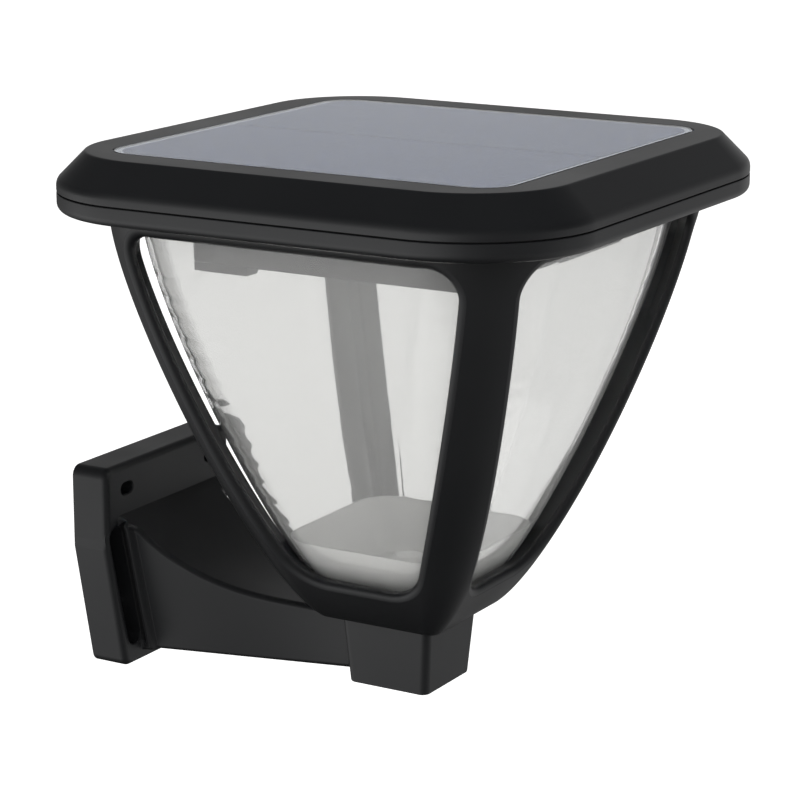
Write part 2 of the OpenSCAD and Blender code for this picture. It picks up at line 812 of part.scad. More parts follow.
function arm_along(d) = min(1, max(0, 1 - (d - plate_thick) / (arm_end - plate_thick)));
function swoop(u) = (1 - level_share) * u ^ swoop_power + level_share * (1 - (1 - u) ^ level_end);

// Ring of the arm at distance d from the wall, grown by extra all round and by flank at the sides
function arm_ring(d, extra, flank = 0) =
    let (
        u = arm_along(d), trim = 0.1 * flank,
        top = arm_top_z + arm_rise * swoop(u) + extra - trim, foot = arm_foot_z - arm_drop * u - extra + trim,
        wide = arm_half + arm_flare * u + extra + flank, narrow = arm_foot_half + foot_flare * u + extra + flank,
        r = arm_round + extra / 2
    )
    [for (p = concat(
        arc(wide - r, top - r, r, 8, 90, 3), arc(-wide + r, top - r, r, 90, 172, 3),
        arc(-narrow + r, foot + r, r, 188, 270, 3), arc(narrow - r, foot + r, r, 270, 352, 3)
    )) [p[0], p[1], d]];

module arm_solid(extra, from, to, stations = 1) {
    rotate([90, 0, 0]) loft([for (i = [0:stations]) arm_ring(from + (to - from) * i / stations, extra)]);
}

// Wider root of the arm, which runs out into its sides
module arm_root() {
    end = plate_thick + root_length;
    rotate([90, 0, 0]) loft([arm_ring(plate_thick - 1, 0, root_flank), arm_ring(end, 0, root_flank),
        arm_ring(end + root_ramp, 0, -0.5)]);
}

module plate_outline() {
    half = plate_width / 2;
    foot = plate_foot_width / 2;
    offset(r = plate_corner) offset(delta = -plate_corner) polygon([
        [-half, plate_top], [-half, plate_knee], [-foot, -plate_bottom],
        [foot, -plate_bottom], [half, plate_knee], [half, plate_top]
    ]);
}

// Outline of a screw pocket, parallel to the plate's tapered side
module pocket_outline(side, grow = 0) {
    hull() for (z = [pocket_top, -pocket_bottom]) {
        shift = (z + slot_z) * pocket_lean;
        end = z > 0 ? z - pocket_width / 2 : z + pocket_width / 2;
        translate([side * (slot_x + shift), end]) circle(d = pocket_width + 2 * grow);
    }
}

module on_wall(thick, from = 0) {
    translate([0, -from, 0]) rotate([90, 0, 0]) linear_extrude(thick) children();
}

module plate_shell() {
    difference() {
        hull() {
            on_wall(plate_thick - plate_edge) plate_outline();
            on_wall(plate_thick - plate_edge * 0.29) offset(delta = -plate_edge * 0.29) plate_outline();
            on_wall(plate_thick) offset(delta = -plate_edge) plate_outline();
        }
        on_wall(plate_thick - plate_wall + 1, -1) offset(delta = -plate_wall) plate_outline();
    }
}

module screw_slot(x, z) {
    for (s = [-1, 1]) translate([x + s * (slot_length - slot_width) / 2, 1, z]) rotate([90, 0, 0])
        cylinder(d = slot_width, h = plate_thick + 2);
    translate([x - (slot_length - slot_width) / 2, -plate_thick - 1, z - slot_width / 2])
        cube([slot_length - slot_width, plate_thick + 2, slot_width]);
}

module wall_bracket() {
    color("#232426") difference() {
        union() {
            plate_shell();
            for (s = [-1, 1]) {
                translate([s * slot_x, 0, slot_z]) on_wall(plate_thick - 1)
                    square([slot_length + 5, slot_width + 5], center = true);
                on_wall(plate_thick - 1) intersection() {
                    pocket_outline(s, 2);
                    plate_outline();
                }
            }
            arm_solid(0, 0, plate_thick);
            arm_solid(0, plate_thick, arm_end, 20);
            arm_root();
            translate([-tongue_width / 2, -lantern_reach - 10, tongue_z])
                cube([tongue_width, lantern_reach + 10 - arm_end + 1, tongue_thick - snug_gap]);
        }
        arm_solid(-arm_wall, -1, plate_thick - 0.01);
        arm_solid(-arm_wall, plate_thick - 0.02, core_end, 10);
        for (s = [-1, 1]) {
            on_wall(plate_thick, pocket_floor) pocket_outline(s);
            for (z = [-1, 1]) screw_slot(s * slot_x, z * slot_z);
        }
        translate([0, -lantern_reach, tongue_z - 1]) cylinder(d = bolt_d + 2 * pass_gap, h = tongue_thick + 2);
    }
}

lid_cover();
lid_tray();
lid_seal();
lid_screws();
panel_backing();
solar_cell_left();
solar_cell_right();
panel_sheet();
panel_leads();
battery();
battery_holder();
battery_contacts();
control_board();
led_board();
leds();
board_screws();
light_plate();
wire_cover();
power_button();
switch_plunger();
switch_body();
switch_board();
shade_seal();
shade();
cage();
cage_screws();
light_cone();
base_insert();
base_block();
base_bolt();
base_washer();
base_cap();
wall_bracket();
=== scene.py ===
# Solar wall light: black moulded lantern on a swooping arm, with the solar panel in its lid.
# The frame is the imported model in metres; sizes in this file are millimetres unless they say otherwise.
import math

import bmesh
import bpy
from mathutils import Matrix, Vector


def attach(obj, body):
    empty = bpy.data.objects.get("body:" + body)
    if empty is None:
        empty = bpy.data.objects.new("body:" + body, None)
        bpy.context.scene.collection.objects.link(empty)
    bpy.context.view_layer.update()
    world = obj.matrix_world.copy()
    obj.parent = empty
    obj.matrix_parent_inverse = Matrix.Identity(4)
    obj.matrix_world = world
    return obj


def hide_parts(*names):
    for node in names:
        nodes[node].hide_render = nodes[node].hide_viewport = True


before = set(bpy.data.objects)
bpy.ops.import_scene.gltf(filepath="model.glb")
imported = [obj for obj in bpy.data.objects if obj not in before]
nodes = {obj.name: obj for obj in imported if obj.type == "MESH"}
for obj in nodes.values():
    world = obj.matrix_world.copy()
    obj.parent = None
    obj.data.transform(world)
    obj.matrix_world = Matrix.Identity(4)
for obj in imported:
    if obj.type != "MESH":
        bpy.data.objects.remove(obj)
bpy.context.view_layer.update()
scene = bpy.context.scene

# Studio
# A pale floor well below the hanging light, a white surround and three large soft lamps. The camera stands at
# the front left, a little above the lid, with a long lens.

azimuth, elevation, distance = math.radians(-59.45), math.radians(14.03), 0.9888
aim = Vector((-0.00167, -0.117, 0.06485))
back = Vector((
    math.sin(azimuth) * math.cos(elevation), -math.cos(azimuth) * math.cos(elevation), math.sin(elevation)
))
right = Vector((math.cos(azimuth), math.sin(azimuth), 0))
upward = back.cross(right)
camera = bpy.data.objects.new("camera", bpy.data.cameras.new("camera"))
camera.data.lens = 125.5
camera.data.sensor_width = 36
camera.data.clip_end = 50
scene.collection.objects.link(camera)
for row in range(3):
    camera.matrix_world[row] = (right[row], upward[row], back[row], (aim + back * distance)[row])
scene.camera = camera
scene.view_settings.view_transform = "Standard"


def linear(code):
    """Linear colour of an sRGB hex value."""
    parts = [int(code[i:i + 2], 16) / 255 for i in (0, 2, 4)]
    return tuple(p / 12.92 if p <= 0.04045 else ((p + 0.055) / 1.055) ** 2.4 for p in parts) + (1,)


def add_node(tree, kind, inputs=None, **settings):
    """Adds a node with its settings; an input takes a number, a colour or another node's output."""
    node = tree.nodes.new(kind)
    for name, value in settings.items():
        setattr(node, name, value)
    for name, value in (inputs or {}).items():
        if isinstance(value, bpy.types.NodeSocket):
            tree.links.new(value, node.inputs[name])
        else:
            node.inputs[name].default_value = value
    return node


def add_levels(tree, value, *stops):
    """Level that follows a value between -1 and 1 through stops of value and level."""
    half = add_node(tree, "ShaderNodeMapRange", {"Value": value, "From Min": -1, "From Max": 1})
    ramp = add_node(tree, "ShaderNodeValToRGB", {0: half.outputs[0]})
    for i, (place, level) in enumerate(stops):
        stop = ramp.color_ramp.elements[i] if i < 2 else ramp.color_ramp.elements.new(1)
        stop.position = (place + 1) / 2
        stop.color = (level, level, level, 1)
    return ramp


# For gloss a white backdrop stands at the back left of the room, with a dim one opposite and a dark ceiling.
world = bpy.data.worlds.new("studio_surround")
scene.world = world
world.use_nodes = True
tree = world.node_tree
tree.nodes.clear()
path = add_node(tree, "ShaderNodeLightPath")
direction = add_node(tree, "ShaderNodeTexCoord")
parts = add_node(tree, "ShaderNodeSeparateXYZ", {0: direction.outputs["Generated"]})
side = add_levels(tree, parts.outputs["Y"], (-0.8, 0.12), (0.5, 1.0), (0.66, 0.95), (0.85, 0.2))
ceiling = add_levels(tree, parts.outputs["Z"], (0, 0.7), (0.24, 0.36), (0.5, 0.16), (0.85, 0.03))
level = add_node(tree, "ShaderNodeMath", {0: side.outputs[0], 1: ceiling.outputs[0]}, operation="MULTIPLY")
seen = add_node(tree, "ShaderNodeMath", {
    0: path.outputs["Is Camera Ray"], 1: path.outputs["Is Transmission Ray"]}, operation="MAXIMUM")
diffuse_light = add_node(tree, "ShaderNodeBackground", {"Color": (1, 1, 1, 1), "Strength": 0.55})
gloss_light = add_node(tree, "ShaderNodeBackground", {"Color": (1, 1, 1, 1), "Strength": level.outputs[0]})
white_light = add_node(tree, "ShaderNodeBackground", {"Color": (1, 1, 1, 1), "Strength": 1.0})
inner = add_node(tree, "ShaderNodeMixShader",
                 {0: path.outputs["Is Glossy Ray"], 1: diffuse_light.outputs[0], 2: gloss_light.outputs[0]})
outer = add_node(tree, "ShaderNodeMixShader", {
    0: seen.outputs[0], 1: inner.outputs[0], 2: white_light.outputs[0]})
add_node(tree, "ShaderNodeOutputWorld", {0: outer.outputs[0]})

# White paper under the light. The camera sees it lifted to white; gloss sees a painted glow, darker right
# under the light.
floor_material = bpy.data.materials.new("white_paper_sweep")
floor_material.use_nodes = True
tree = floor_material.node_tree
tree.nodes.clear()
path = add_node(tree, "ShaderNodeLightPath")
seen = add_node(tree, "ShaderNodeMath", {
    0: path.outputs["Is Camera Ray"], 1: path.outputs["Is Transmission Ray"]}, operation="MAXIMUM")
glow = add_node(tree, "ShaderNodeMath", {0: seen.outputs[0], 1: 0.7}, operation="MULTIPLY")
paper = add_node(tree, "ShaderNodeBsdfDiffuse", {"Color": linear("f0f0ef")})
lift = add_node(tree, "ShaderNodeEmission", {"Color": (1, 1, 1, 1), "Strength": glow.outputs[0]})
both = add_node(tree, "ShaderNodeAddShader", {0: paper.outputs[0], 1: lift.outputs[0]})
spot = add_node(tree, "ShaderNodeVectorMath", {0: add_node(tree, "ShaderNodeTexCoord").outputs["Object"]},
                operation="NORMALIZE")
parts = add_node(tree, "ShaderNodeSeparateXYZ", {0: spot.outputs[0]})
toward = add_node(tree, "ShaderNodeVectorMath", {
    0: spot.outputs[0], 1: (-0.8, 0.6, 0)}, operation="DOT_PRODUCT")
# Painted light for gloss: a painted shade right under the light, and brightest towards the back left.
side = add_levels(tree, toward.outputs["Value"],
                  (-1, 0.34), (-0.85, 0.45), (-0.5, 0.2), (0, 0.12), (0.45, 0.25), (0.8, 1.0))
under = add_levels(tree, parts.outputs["Z"], (-0.95, 0.1), (-0.5, 1.0))
level = add_node(tree, "ShaderNodeMath", {0: side.outputs[0], 1: under.outputs[0]}, operation="MULTIPLY")
painted_glow_for_gloss = add_node(tree, "ShaderNodeEmission", {"Color": (1, 1, 1, 1), "Strength": level.outputs[0]})
gloss = add_node(tree, "ShaderNodeMath", {0: path.outputs["Is Glossy Ray"], 1: seen.outputs[0]},
                 operation="SUBTRACT", use_clamp=True)
sweep = add_node(tree, "ShaderNodeMixShader", {
    0: gloss.outputs[0], 1: both.outputs[0], 2: painted_glow_for_gloss.outputs[0]})
add_node(tree, "ShaderNodeOutputMaterial", {"Surface": sweep.outputs[0]})
floor_mesh = bpy.data.meshes.new("floor")
floor_mesh.from_pydata([(-9, -9, -0.6), (9, -9, -0.6), (9, 9, -0.6), (-9, 9, -0.6)], [], [(0, 1, 2, 3)])
floor = bpy.data.objects.new("floor", floor_mesh)
floor_mesh.materials.append(floor_material)
scene.collection.objects.link(floor)

for name, place, size, watts in (
    ("softbox_front", (-0.9, -1.9, 0.9), 1.4, 12),
    ("softbox_left", (-1.9, 0.5, 0.7), 1.2, 8),
    ("softbox_top", (0.3, -0.4, 1.7), 1.4, 10),
):
    lamp = bpy.data.objects.new(name, bpy.data.lights.new(name, "AREA"))
    lamp.data.size = size
    lamp.data.energy = watts
    lamp.location = place
    lamp.rotation_euler = (Vector(place) - aim).to_track_quat("Z", "Y").to_euler()
    lamp.visible_glossy = False
    scene.collection.objects.link(lamp)

# Wall bracket
# The arm and the wall plate are one hollow ABS moulding: the top of the arm swoops up and out to the plate,
# which has slots for the upper wall screws and a deep pocket beside the arm for each lower one.

LANTERN = 120          # the lantern's centre line, from the wall
SEAT = -13             # height of the lantern's seat
PLATE_THICK = 15.2
ARM_END = 103.1
SWOOP, END_LIFT = 26.1, 2.9    # how far the arm's top swoops up to the plate, and lifts beside the block
BOLT_HOLE = 3.25       # radius of the clearance hole for the lantern's bolt


def new_piece(name, points, faces):
    """Closed mesh from points in millimetres, with its faces turned outwards."""
    mesh = bpy.data.meshes.new(name)
    mesh.from_pydata([Vector(p) / 1000 for p in points], [], faces)
    work = bmesh.new()
    work.from_mesh(mesh)
    bmesh.ops.remove_doubles(work, verts=work.verts, dist=1e-6)
    bmesh.ops.recalc_face_normals(work, faces=work.faces)
    work.to_mesh(mesh)
    work.free()
    piece = bpy.data.objects.new(name, mesh)
    scene.collection.objects.link(piece)
    return piece


def loft(name, rings, loop=False):
    """Closed mesh through rings of equally many points, with capped ends or joined end to end."""
    count = len(rings[0])
    points = [p for ring in rings for p in ring]
    faces = []
    for s in range(len(rings) if loop else len(rings) - 1):
        a, b = s * count, (s + 1) % len(rings) * count
        faces += [(a + i, a + (i + 1) % count, b + (i + 1) % count, b + i) for i in range(count)]
    if not loop:
        faces.append(tuple(reversed(range(count))))
        faces.append(tuple(range(len(points) - count, len(points))))
    return new_piece(name, points, faces)


def keep_result(piece):
    """Makes what a piece's modifiers show its plain mesh."""
    depsgraph = bpy.context.evaluated_depsgraph_get()
    depsgraph.update()
    mesh = bpy.data.meshes.new_from_object(piece.evaluated_get(depsgraph))
    piece.modifiers.clear()
    old = piece.data
    piece.data = mesh
    mesh.name = piece.name
    bpy.data.meshes.remove(old)


def combine(piece, other, operation="DIFFERENCE"):
    """Cuts a closed mesh with another, or joins it to it; the other is used up."""
    step = piece.modifiers.new("combine", "BOOLEAN")
    step.operation, step.object, step.solver = operation, other, "EXACT"
    keep_result(piece)
    bpy.data.objects.remove(other)
    return piece


def soften(piece, angle=32):
    """Smooth shading that keeps flat faces flat and edges sharper than the angle crisp."""
    piece.data.shade_smooth()
    piece.data.set_sharp_from_angle(angle=math.radians(angle))
    step = piece.modifiers.new("even", "WEIGHTED_NORMAL")
    step.keep_sharp = True
    keep_result(piece)
    return piece


def arc(x, y, radius, start, stop, steps):
    """Points of an arc, with its angles in degrees."""
    turns = [math.radians(start + (stop - start) * i / steps) for i in range(steps + 1)]
    return [(x + radius * math.cos(t), y + radius * math.sin(t)) for t in turns]


def arm_ring(d, extra, flank=0):
    """Section of the arm at distance d from the wall, grown by extra all round and by flank at its sides."""
    u = min(1, max(0, 1 - (d - PLATE_THICK) / (ARM_END - PLATE_THICK)))
    top = SEAT - 1.3 + SWOOP * u ** 3.2 + END_LIFT * (1 - (1 - u) ** 12) + extra
    foot = SEAT - 21.3 - 7 * u - extra
    wide, narrow = 16 + 14 * u + extra + flank, 14.5 + 2.5 * u + extra + flank
    r = 2.2 + extra / 2
    outline = (arc(wide - r, top - r, r, 8, 90, 8) + arc(-wide + r, top - r, r, 90, 172, 8)
               + arc(-narrow + r, foot + r, r, 188, 270, 8) + arc(narrow - r, foot + r, r, 270, 352, 8))
    return [(x, -d, z) for x, z in outline]


def rounded_outline(corners, radius, steps):
    """Points and outward normals of a convex outline with its corners rounded."""
    points = []
    for i, corner in enumerate(corners):
        here = Vector(corner)
        before = (here - Vector(corners[i - 1])).normalized()
        after = (Vector(corners[(i + 1) % len(corners)]) - here).normalized()
        first, last = Vector((before.y, -before.x)), Vector((after.y, -after.x))
        turn = first.angle(last)
        centre = here - (first + last).normalized() * radius / math.cos(turn / 2)
        for k in range(steps + 1):
            normal = first.slerp(last, k / steps)
            points.append((centre + normal * radius, normal))
    return points


plate = rounded_outline([(40, 33.5), (40, 3), (30, -45), (-30, -45), (-40, 3), (-40, 33.5)][::-1], 4, 8)


def plate_ring(d, inset):
    """Outline of the wall plate at distance d from the wall, drawn in by inset."""
    return [((p - n * inset).x, -d, (p - n * inset).y) for p, n in plate]


PLATE_WALL = 3
bracket = loft("wall_bracket_shell",
               [plate_ring(PLATE_THICK, 4)]
               + [plate_ring(PLATE_THICK - 2.5 + r, 2.5 - a) for a, r in arc(0, 0, 2.5, 90, 0, 8)]
               + [plate_ring(0.4, 0), plate_ring(0.12, 0.12), plate_ring(0, 0.4),
                  plate_ring(0, PLATE_WALL - 0.2), plate_ring(0.2, PLATE_WALL),
                  plate_ring(PLATE_THICK - PLATE_WALL, PLATE_WALL)])

# The arm's sides are wider over its root, and that step and the corner at the plate are rounded.
root_end, ramp, fillet = PLATE_THICK + 3.3, 1.6, 1
stations = [PLATE_THICK - 2] + [PLATE_THICK + fillet * (1 - math.cos(math.radians(18 * i))) for i in range(6)]
stations += [root_end - 0.3 + (ramp + 0.6) * i / 10 for i in range(11)]
stations += [root_end + ramp + 0.5 + (ARM_END - root_end - ramp - 0.5) * (i / 56) ** 1.2
             for i in range(1, 57)]
arm_rings = []
for d in stations:
    near = max(0, fillet - max(0, d - PLATE_THICK))
    grow = fillet - math.sqrt(max(0, fillet ** 2 - near ** 2))
    past = min(1, max(0, (d - root_end) / ramp))
    arm_rings.append(arm_ring(d, 0, 3 * (0.5 + 0.5 * math.cos(math.pi * past)) + grow))
combine(bracket, loft("arm", arm_rings), "UNION")


def box_piece(name, low, high):
    """Plain box between two corners, to cut or to join with."""
    x, y, z = zip(low, high)
    return loft(name, [[(x[0], y[0], h), (x[1], y[0], h), (x[1], y[1], h), (x[0], y[1], h)] for h in z])


def pocket_ring(side, grow, d, steps=12):
    """Slanted slot outline of a screw pocket, parallel to the plate's tapered side."""
    lean = 10 / 48
    high_end, low_end, half = 10.5, -37, 3.9
    top_x, foot_x = [side * (27 + (z + 24) * lean) for z in (high_end, low_end)]
    top = arc(top_x, high_end - half, half + grow, 0, 180, steps)
    foot = arc(foot_x, low_end + half, half + grow, 180, 360, steps)
    return [(x, -d, z) for x, z in top + foot]


def slot_ring(x, z, grow, d):
    """Outline of a wall-screw slot, which lies level, at distance d from the wall."""
    half, radius = 1.45, 2.25 + grow
    outline = arc(x + half, z, radius, -90, 90, 8) + arc(x - half, z, radius, 90, 270, 8)
    return [(px, -d, pz) for px, pz in outline]


slot_x, slot_z = 27, 24
for side in (-1, 1):
    combine(bracket, loft("pocket_wall", [
        pocket_ring(side, 2, 0.3), pocket_ring(side, 2, PLATE_THICK - 1)]), "UNION")
    combine(bracket, box_piece("slot_wall", (side * slot_x - 6.2, -PLATE_THICK + 1, slot_z - 4.75),
                               (side * slot_x + 6.2, -0.3, slot_z + 4.75)), "UNION")
hollow_length = 56
hollow = loft("hollow", [arm_ring(-1, -PLATE_WALL)] + [
    arm_ring(PLATE_THICK + hollow_length * i / 24, -PLATE_WALL) for i in range(25)])
combine(bracket, hollow)
tongue = box_piece("tongue", (-11, -LANTERN - 10, -24), (11, -ARM_END + 1, -17.05))
combine(bracket, tongue, "UNION")
for side in (-1, 1):
    combine(bracket, loft("pocket", [
        pocket_ring(side, 3, PLATE_THICK + 2.2), pocket_ring(side, 0.8, PLATE_THICK),
        pocket_ring(side, 0.25, PLATE_THICK - 0.25), pocket_ring(side, 0, PLATE_THICK - 0.8),
        pocket_ring(side, 0, 6)]))
    combine(bracket, loft("slot", [
        slot_ring(side * slot_x, slot_z, 2, PLATE_THICK + 1.6),
        slot_ring(side * slot_x, slot_z, 0.4, PLATE_THICK),
        slot_ring(side * slot_x, slot_z, 0, PLATE_THICK - 0.4), slot_ring(side * slot_x, slot_z, 0, -1)]))
    combine(bracket, loft("slot", [
        slot_ring(side * slot_x, -slot_z, 0, 8), slot_ring(side * slot_x, -slot_z, 0, -1)]))


def turned(name, profile, x=0, y=-LANTERN, steps=48):
    """Solid turned about an upright axis, from a profile of radius and height that starts and ends on it."""
    rings = []
    for radius, z in profile:
        radius = max(radius, 0.01)
        rings.append([(x + radius * math.cos(2 * math.pi * i / steps),
                       y + radius * math.sin(2 * math.pi * i / steps), z) for i in range(steps)])
    return loft(name, rings)


combine(bracket, turned("bolt_hole", [(BOLT_HOLE, -26), (BOLT_HOLE, -15)], steps=32))
soften(bracket)


def start_material(name, colour, roughness, ior=1.5):
    """New material with its shader's plain numbers set; patterns are linked in after."""
    material = bpy.data.materials.new(name)
    material.use_nodes = True
    tree = material.node_tree
    shader = tree.nodes["Principled BSDF"]
    shader.inputs["Base Color"].default_value = linear(colour)
    shader.inputs["Roughness"].default_value = roughness
    shader.inputs["IOR"].default_value = ior
    return material, tree, shader


# ABS moulded in a spark-textured tool: deep black, with a satin sheen that breaks up over a grain of about
# 0.3 mm, drawn at 0.7 mm so that it shows, and slow patches from the flow of the melt.
abs_black, tree, shader = start_material("moulded_black_abs", "17181a", 0.42, 1.53)
place = add_node(tree, "ShaderNodeTexCoord").outputs["Object"]
grain = add_node(tree, "ShaderNodeTexNoise", {"Vector": place, "Scale": 1400, "Detail": 3, "Roughness": 0.6})
flow = add_node(tree, "ShaderNodeTexNoise", {"Vector": place, "Scale": 22, "Detail": 2})
sheen = add_node(tree, "ShaderNodeMapRange", {"Value": flow.outputs["Fac"], "From Min": 0.3, "From Max": 0.7,
                                              "To Min": 0.37, "To Max": 0.47})
tree.links.new(sheen.outputs[0], shader.inputs["Roughness"])
tone = add_node(tree, "ShaderNodeMix", {
    "Factor": flow.outputs["Fac"], "A": linear("141517"), "B": linear("1b1c1e")}, data_type="RGBA")
tree.links.new(tone.outputs["Result"], shader.inputs["Base Color"])
relief = add_node(tree, "ShaderNodeBump", {
    "Strength": 0.35, "Distance": 0.00004, "Height": grain.outputs["Fac"]})
tree.links.new(relief.outputs[0], shader.inputs["Normal"])


def dress(piece, material, body, slot, *cad_nodes):
    """Gives a finished piece its material and the body it rides on, and hides the CAD nodes it stands for."""
    piece.data.materials.clear()
    piece.data.materials.append(material)
    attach(piece, body)
    if cad_nodes:
        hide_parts(*cad_nodes)


dress(bracket, abs_black, "light", "black_plastic", "wall_bracket")

# Base block and cap
# A square tapered ABS block over the end of the arm hides the bolt. It is hollow from below, and a flush cap
# is pressed into its underside.


QUARTERS = ((1, 1), (-1, 1), (-1, -1), (1, -1))    # signs of x and y in a square's four quarters
BLOCK_HIGH = 25.5
block_hollow, cap_recess, cap_depth = 13.2, 14.6, 2.2    # half widths of the hollow and of the cap's recess


def rounded_rectangle(wide, deep, corner, steps):
    """Points of a rounded rectangle, from its half widths."""
    return [(sx * (wide - corner) + x, sy * (deep - corner) + y) for quarter, (sx, sy) in enumerate(QUARTERS)
            for x, y in arc(0, 0, corner, 90 * quarter, 90 * quarter + 90, steps)]


def square_ring(half, corner, z, steps=16):
    """Rounded square round the lantern's centre line."""
    return [(x, y - LANTERN, z) for x, y in rounded_rectangle(half, half, corner, steps)]


def block_half(z, inset=0):
    """Half width of the tapered block at a height."""
    return 16.2 + 2 * (z - SEAT + BLOCK_HIGH) / BLOCK_HIGH - inset


bottom = SEAT - BLOCK_HIGH
block = loft("base_block_moulding", [
    square_ring(block_hollow, 1, SEAT - 4), square_ring(block_hollow, 1, bottom + cap_depth),
    square_ring(cap_recess, 1, bottom + cap_depth), square_ring(cap_recess, 1, bottom + 0.3),
    square_ring(cap_recess + 0.3, 1.3, bottom),
    square_ring(block_half(bottom, 0.6), 2.4, bottom),
    square_ring(block_half(bottom, 0.18), 2.8, bottom + 0.18),
    square_ring(block_half(bottom + 0.6), 3, bottom + 0.6),
    square_ring(block_half(SEAT - 0.6), 3, SEAT - 0.6),
    square_ring(block_half(SEAT, 0.18), 2.8, SEAT - 0.18), square_ring(block_half(SEAT, 0.6), 2.4, SEAT)])
combine(block, loft("arm_socket", [arm_ring(100.1, 0.15), arm_ring(103.25, 0.15)]))
combine(block, box_piece("arm_notch", (-13.8, -103.25, SEAT - 2), (13.8, -100, SEAT + 1)))
combine(block, box_piece("tongue_slot", (-11.05, -LANTERN, -24.05), (11.05, -LANTERN + 21, -17)))
combine(block, turned("bolt_clearance", [(BOLT_HOLE, -20), (BOLT_HOLE, -10)], steps=32))
soften(block)
dress(block, abs_black, "light", "black_plastic", "base_block")

cap_half = 14.45
cap = loft("base_block_cap", [
    square_ring(cap_half - 0.4, 0.5, bottom), square_ring(cap_half, 0.6, bottom + 0.4),
    square_ring(cap_half, 0.6, bottom + cap_depth)])
soften(cap)
dress(cap, abs_black, "light", "black_plastic", "base_cap")

# Bolt, washer and insert
# A zinc-plated socket bolt runs up through the washer, the arm's tongue and the block into a brass insert.


def paint(material, *names):
    """Gives CAD nodes that keep their own mesh a material."""
    for name in names:
        nodes[name].data.materials.clear()
        nodes[name].data.materials.append(material)


# Zinc plating on turned steel: pale grey metal, faintly bluish, with a fine uneven grain that spreads the
# highlight.
zinc, tree, shader = start_material("zinc_plated_steel", "b9bcc0", 0.3)
shader.inputs["Metallic"].default_value = 1
place = add_node(tree, "ShaderNodeTexCoord").outputs["Object"]
plating = add_node(tree, "ShaderNodeTexNoise", {"Vector": place, "Scale": 900, "Detail": 4})
tone = add_node(tree, "ShaderNodeMix", {
    "Factor": plating.outputs["Fac"], "A": linear("a5a9ad"), "B": linear("cfd1d3")}, data_type="RGBA")
tree.links.new(tone.outputs["Result"], shader.inputs["Base Color"])
relief = add_node(tree, "ShaderNodeBump", {
    "Strength": 0.3, "Distance": 0.00003, "Height": plating.outputs["Fac"]})
tree.links.new(relief.outputs[0], shader.inputs["Normal"])

# Free-machining brass, turned and knurled: warm yellow with a soft polish.
brass, tree, shader = start_material("turned_brass", "c9a860", 0.28)
shader.inputs["Metallic"].default_value = 1
place = add_node(tree, "ShaderNodeTexCoord").outputs["Object"]
tarnish = add_node(tree, "ShaderNodeTexNoise", {"Vector": place, "Scale": 300, "Detail": 3})
tone = add_node(tree, "ShaderNodeMix", {
    "Factor": tarnish.outputs["Fac"], "A": linear("b08f48"), "B": linear("d9bd78")}, data_type="RGBA")
tree.links.new(tone.outputs["Result"], shader.inputs["Base Color"])

paint(zinc, "base_bolt", "base_washer")
paint(brass, "base_insert")

# Cage
# The lantern's body is one ABS moulding that bulges from a narrow foot to the lid. Four windows leave a rib
# at each corner, and a ledge inside the top carries the clear shade's flange.


CAGE_HIGH = 148.6
FOOT_HALF, TOP_HALF = 23, 86    # half widths of the cage at its foot and at the lid
FRAME_DEPTH = 7.3      # from the cage's outside in to the clear shade
CAGE_SCREWS = 71.1     # the cage's screws, from the centre line each way
TAPPED, CLEARANCE = 1.5, 1.7    # radii of a screw's tapped hole and of its clearance hole
LEDGE, LEDGE_CORNER = 84.1, 38.1    # half width and corner radius of the recess for the shade's flange


def bezier(a, b, c, d, t):
    return (1 - t) ** 3 * a + 3 * t * (1 - t) ** 2 * b + 3 * t ** 2 * (1 - t) * c + t ** 3 * d


def curve_half(t):
    """Half width of the cage along its curve, which runs from 0 at the foot to 1 at the lid."""
    return bezier(FOOT_HALF, 43, 84.6, TOP_HALF, t)


def curve_height(t):
    """Height above the cage's foot along its curve."""
    return bezier(0, 12, 117.6, CAGE_HIGH, t)


def curve_at(h):
    """Place on the curve of a height above the foot."""
    low, high = 0.0, 1.0
    for _ in range(40):
        middle = (low + high) / 2
        low, high = (middle, high) if curve_height(middle) < h else (low, middle)
    return low


def cage_half(h):
    """Half width of the cage at a height above its foot."""
    return curve_half(curve_at(h))


def cage_corner(half):
    """Radius of the cage's corners where it has this half width."""
    return 3 + 37 * (half - FOOT_HALF) / (TOP_HALF - FOOT_HALF)


def cavity_corner(half):
    """Radius of the corners of the cage's cavity where it has this half width."""
    return min(half - 1, 34 - (78.7 - half) * 0.42)


def cavity_ring(h, half, extra):
    """Ring inside the cage, by the cage's half width there."""
    return square_ring(half - FRAME_DEPTH + extra, cavity_corner(half - FRAME_DEPTH) + extra, SEAT + h, 24)


outside = [(curve_height(i / 72), curve_half(i / 72)) for i in range(73)]
rings = [square_ring(22.4, 2.4, SEAT, 24), square_ring(22.82, 2.8, SEAT + 0.18, 24)]
rings += [square_ring(half, cage_corner(half), SEAT + h, 24) for h, half in outside if 0.5 < h < 148]
for inset, corner, drop in ((0.02, 40, 0.5), (0.15, 39.85, 0.15), (0.5, 39.5, 0)):
    rings.append(square_ring(TOP_HALF - inset, corner, SEAT + CAGE_HIGH - drop, 24))
rings += [square_ring(LEDGE, LEDGE_CORNER, SEAT + CAGE_HIGH, 24),
          square_ring(LEDGE, LEDGE_CORNER, SEAT + CAGE_HIGH - 2, 24),
          cavity_ring(CAGE_HIGH - 2, cage_half(CAGE_HIGH - 2), 0.3)]
rings += [cavity_ring(h, half, 0.3) for h, half in reversed(outside) if 10.4 < h < 146.5]
rings += [cavity_ring(10, cage_half(10), 0.3)]
cage = loft("cage_moulding", rings)


def window_side(h):
    """Half width of a window at a height above the cage's foot."""
    half = cage_half(h)
    return half - 13.6 - 7.9 * (half - FOOT_HALF) / (TOP_HALF - FOOT_HALF)


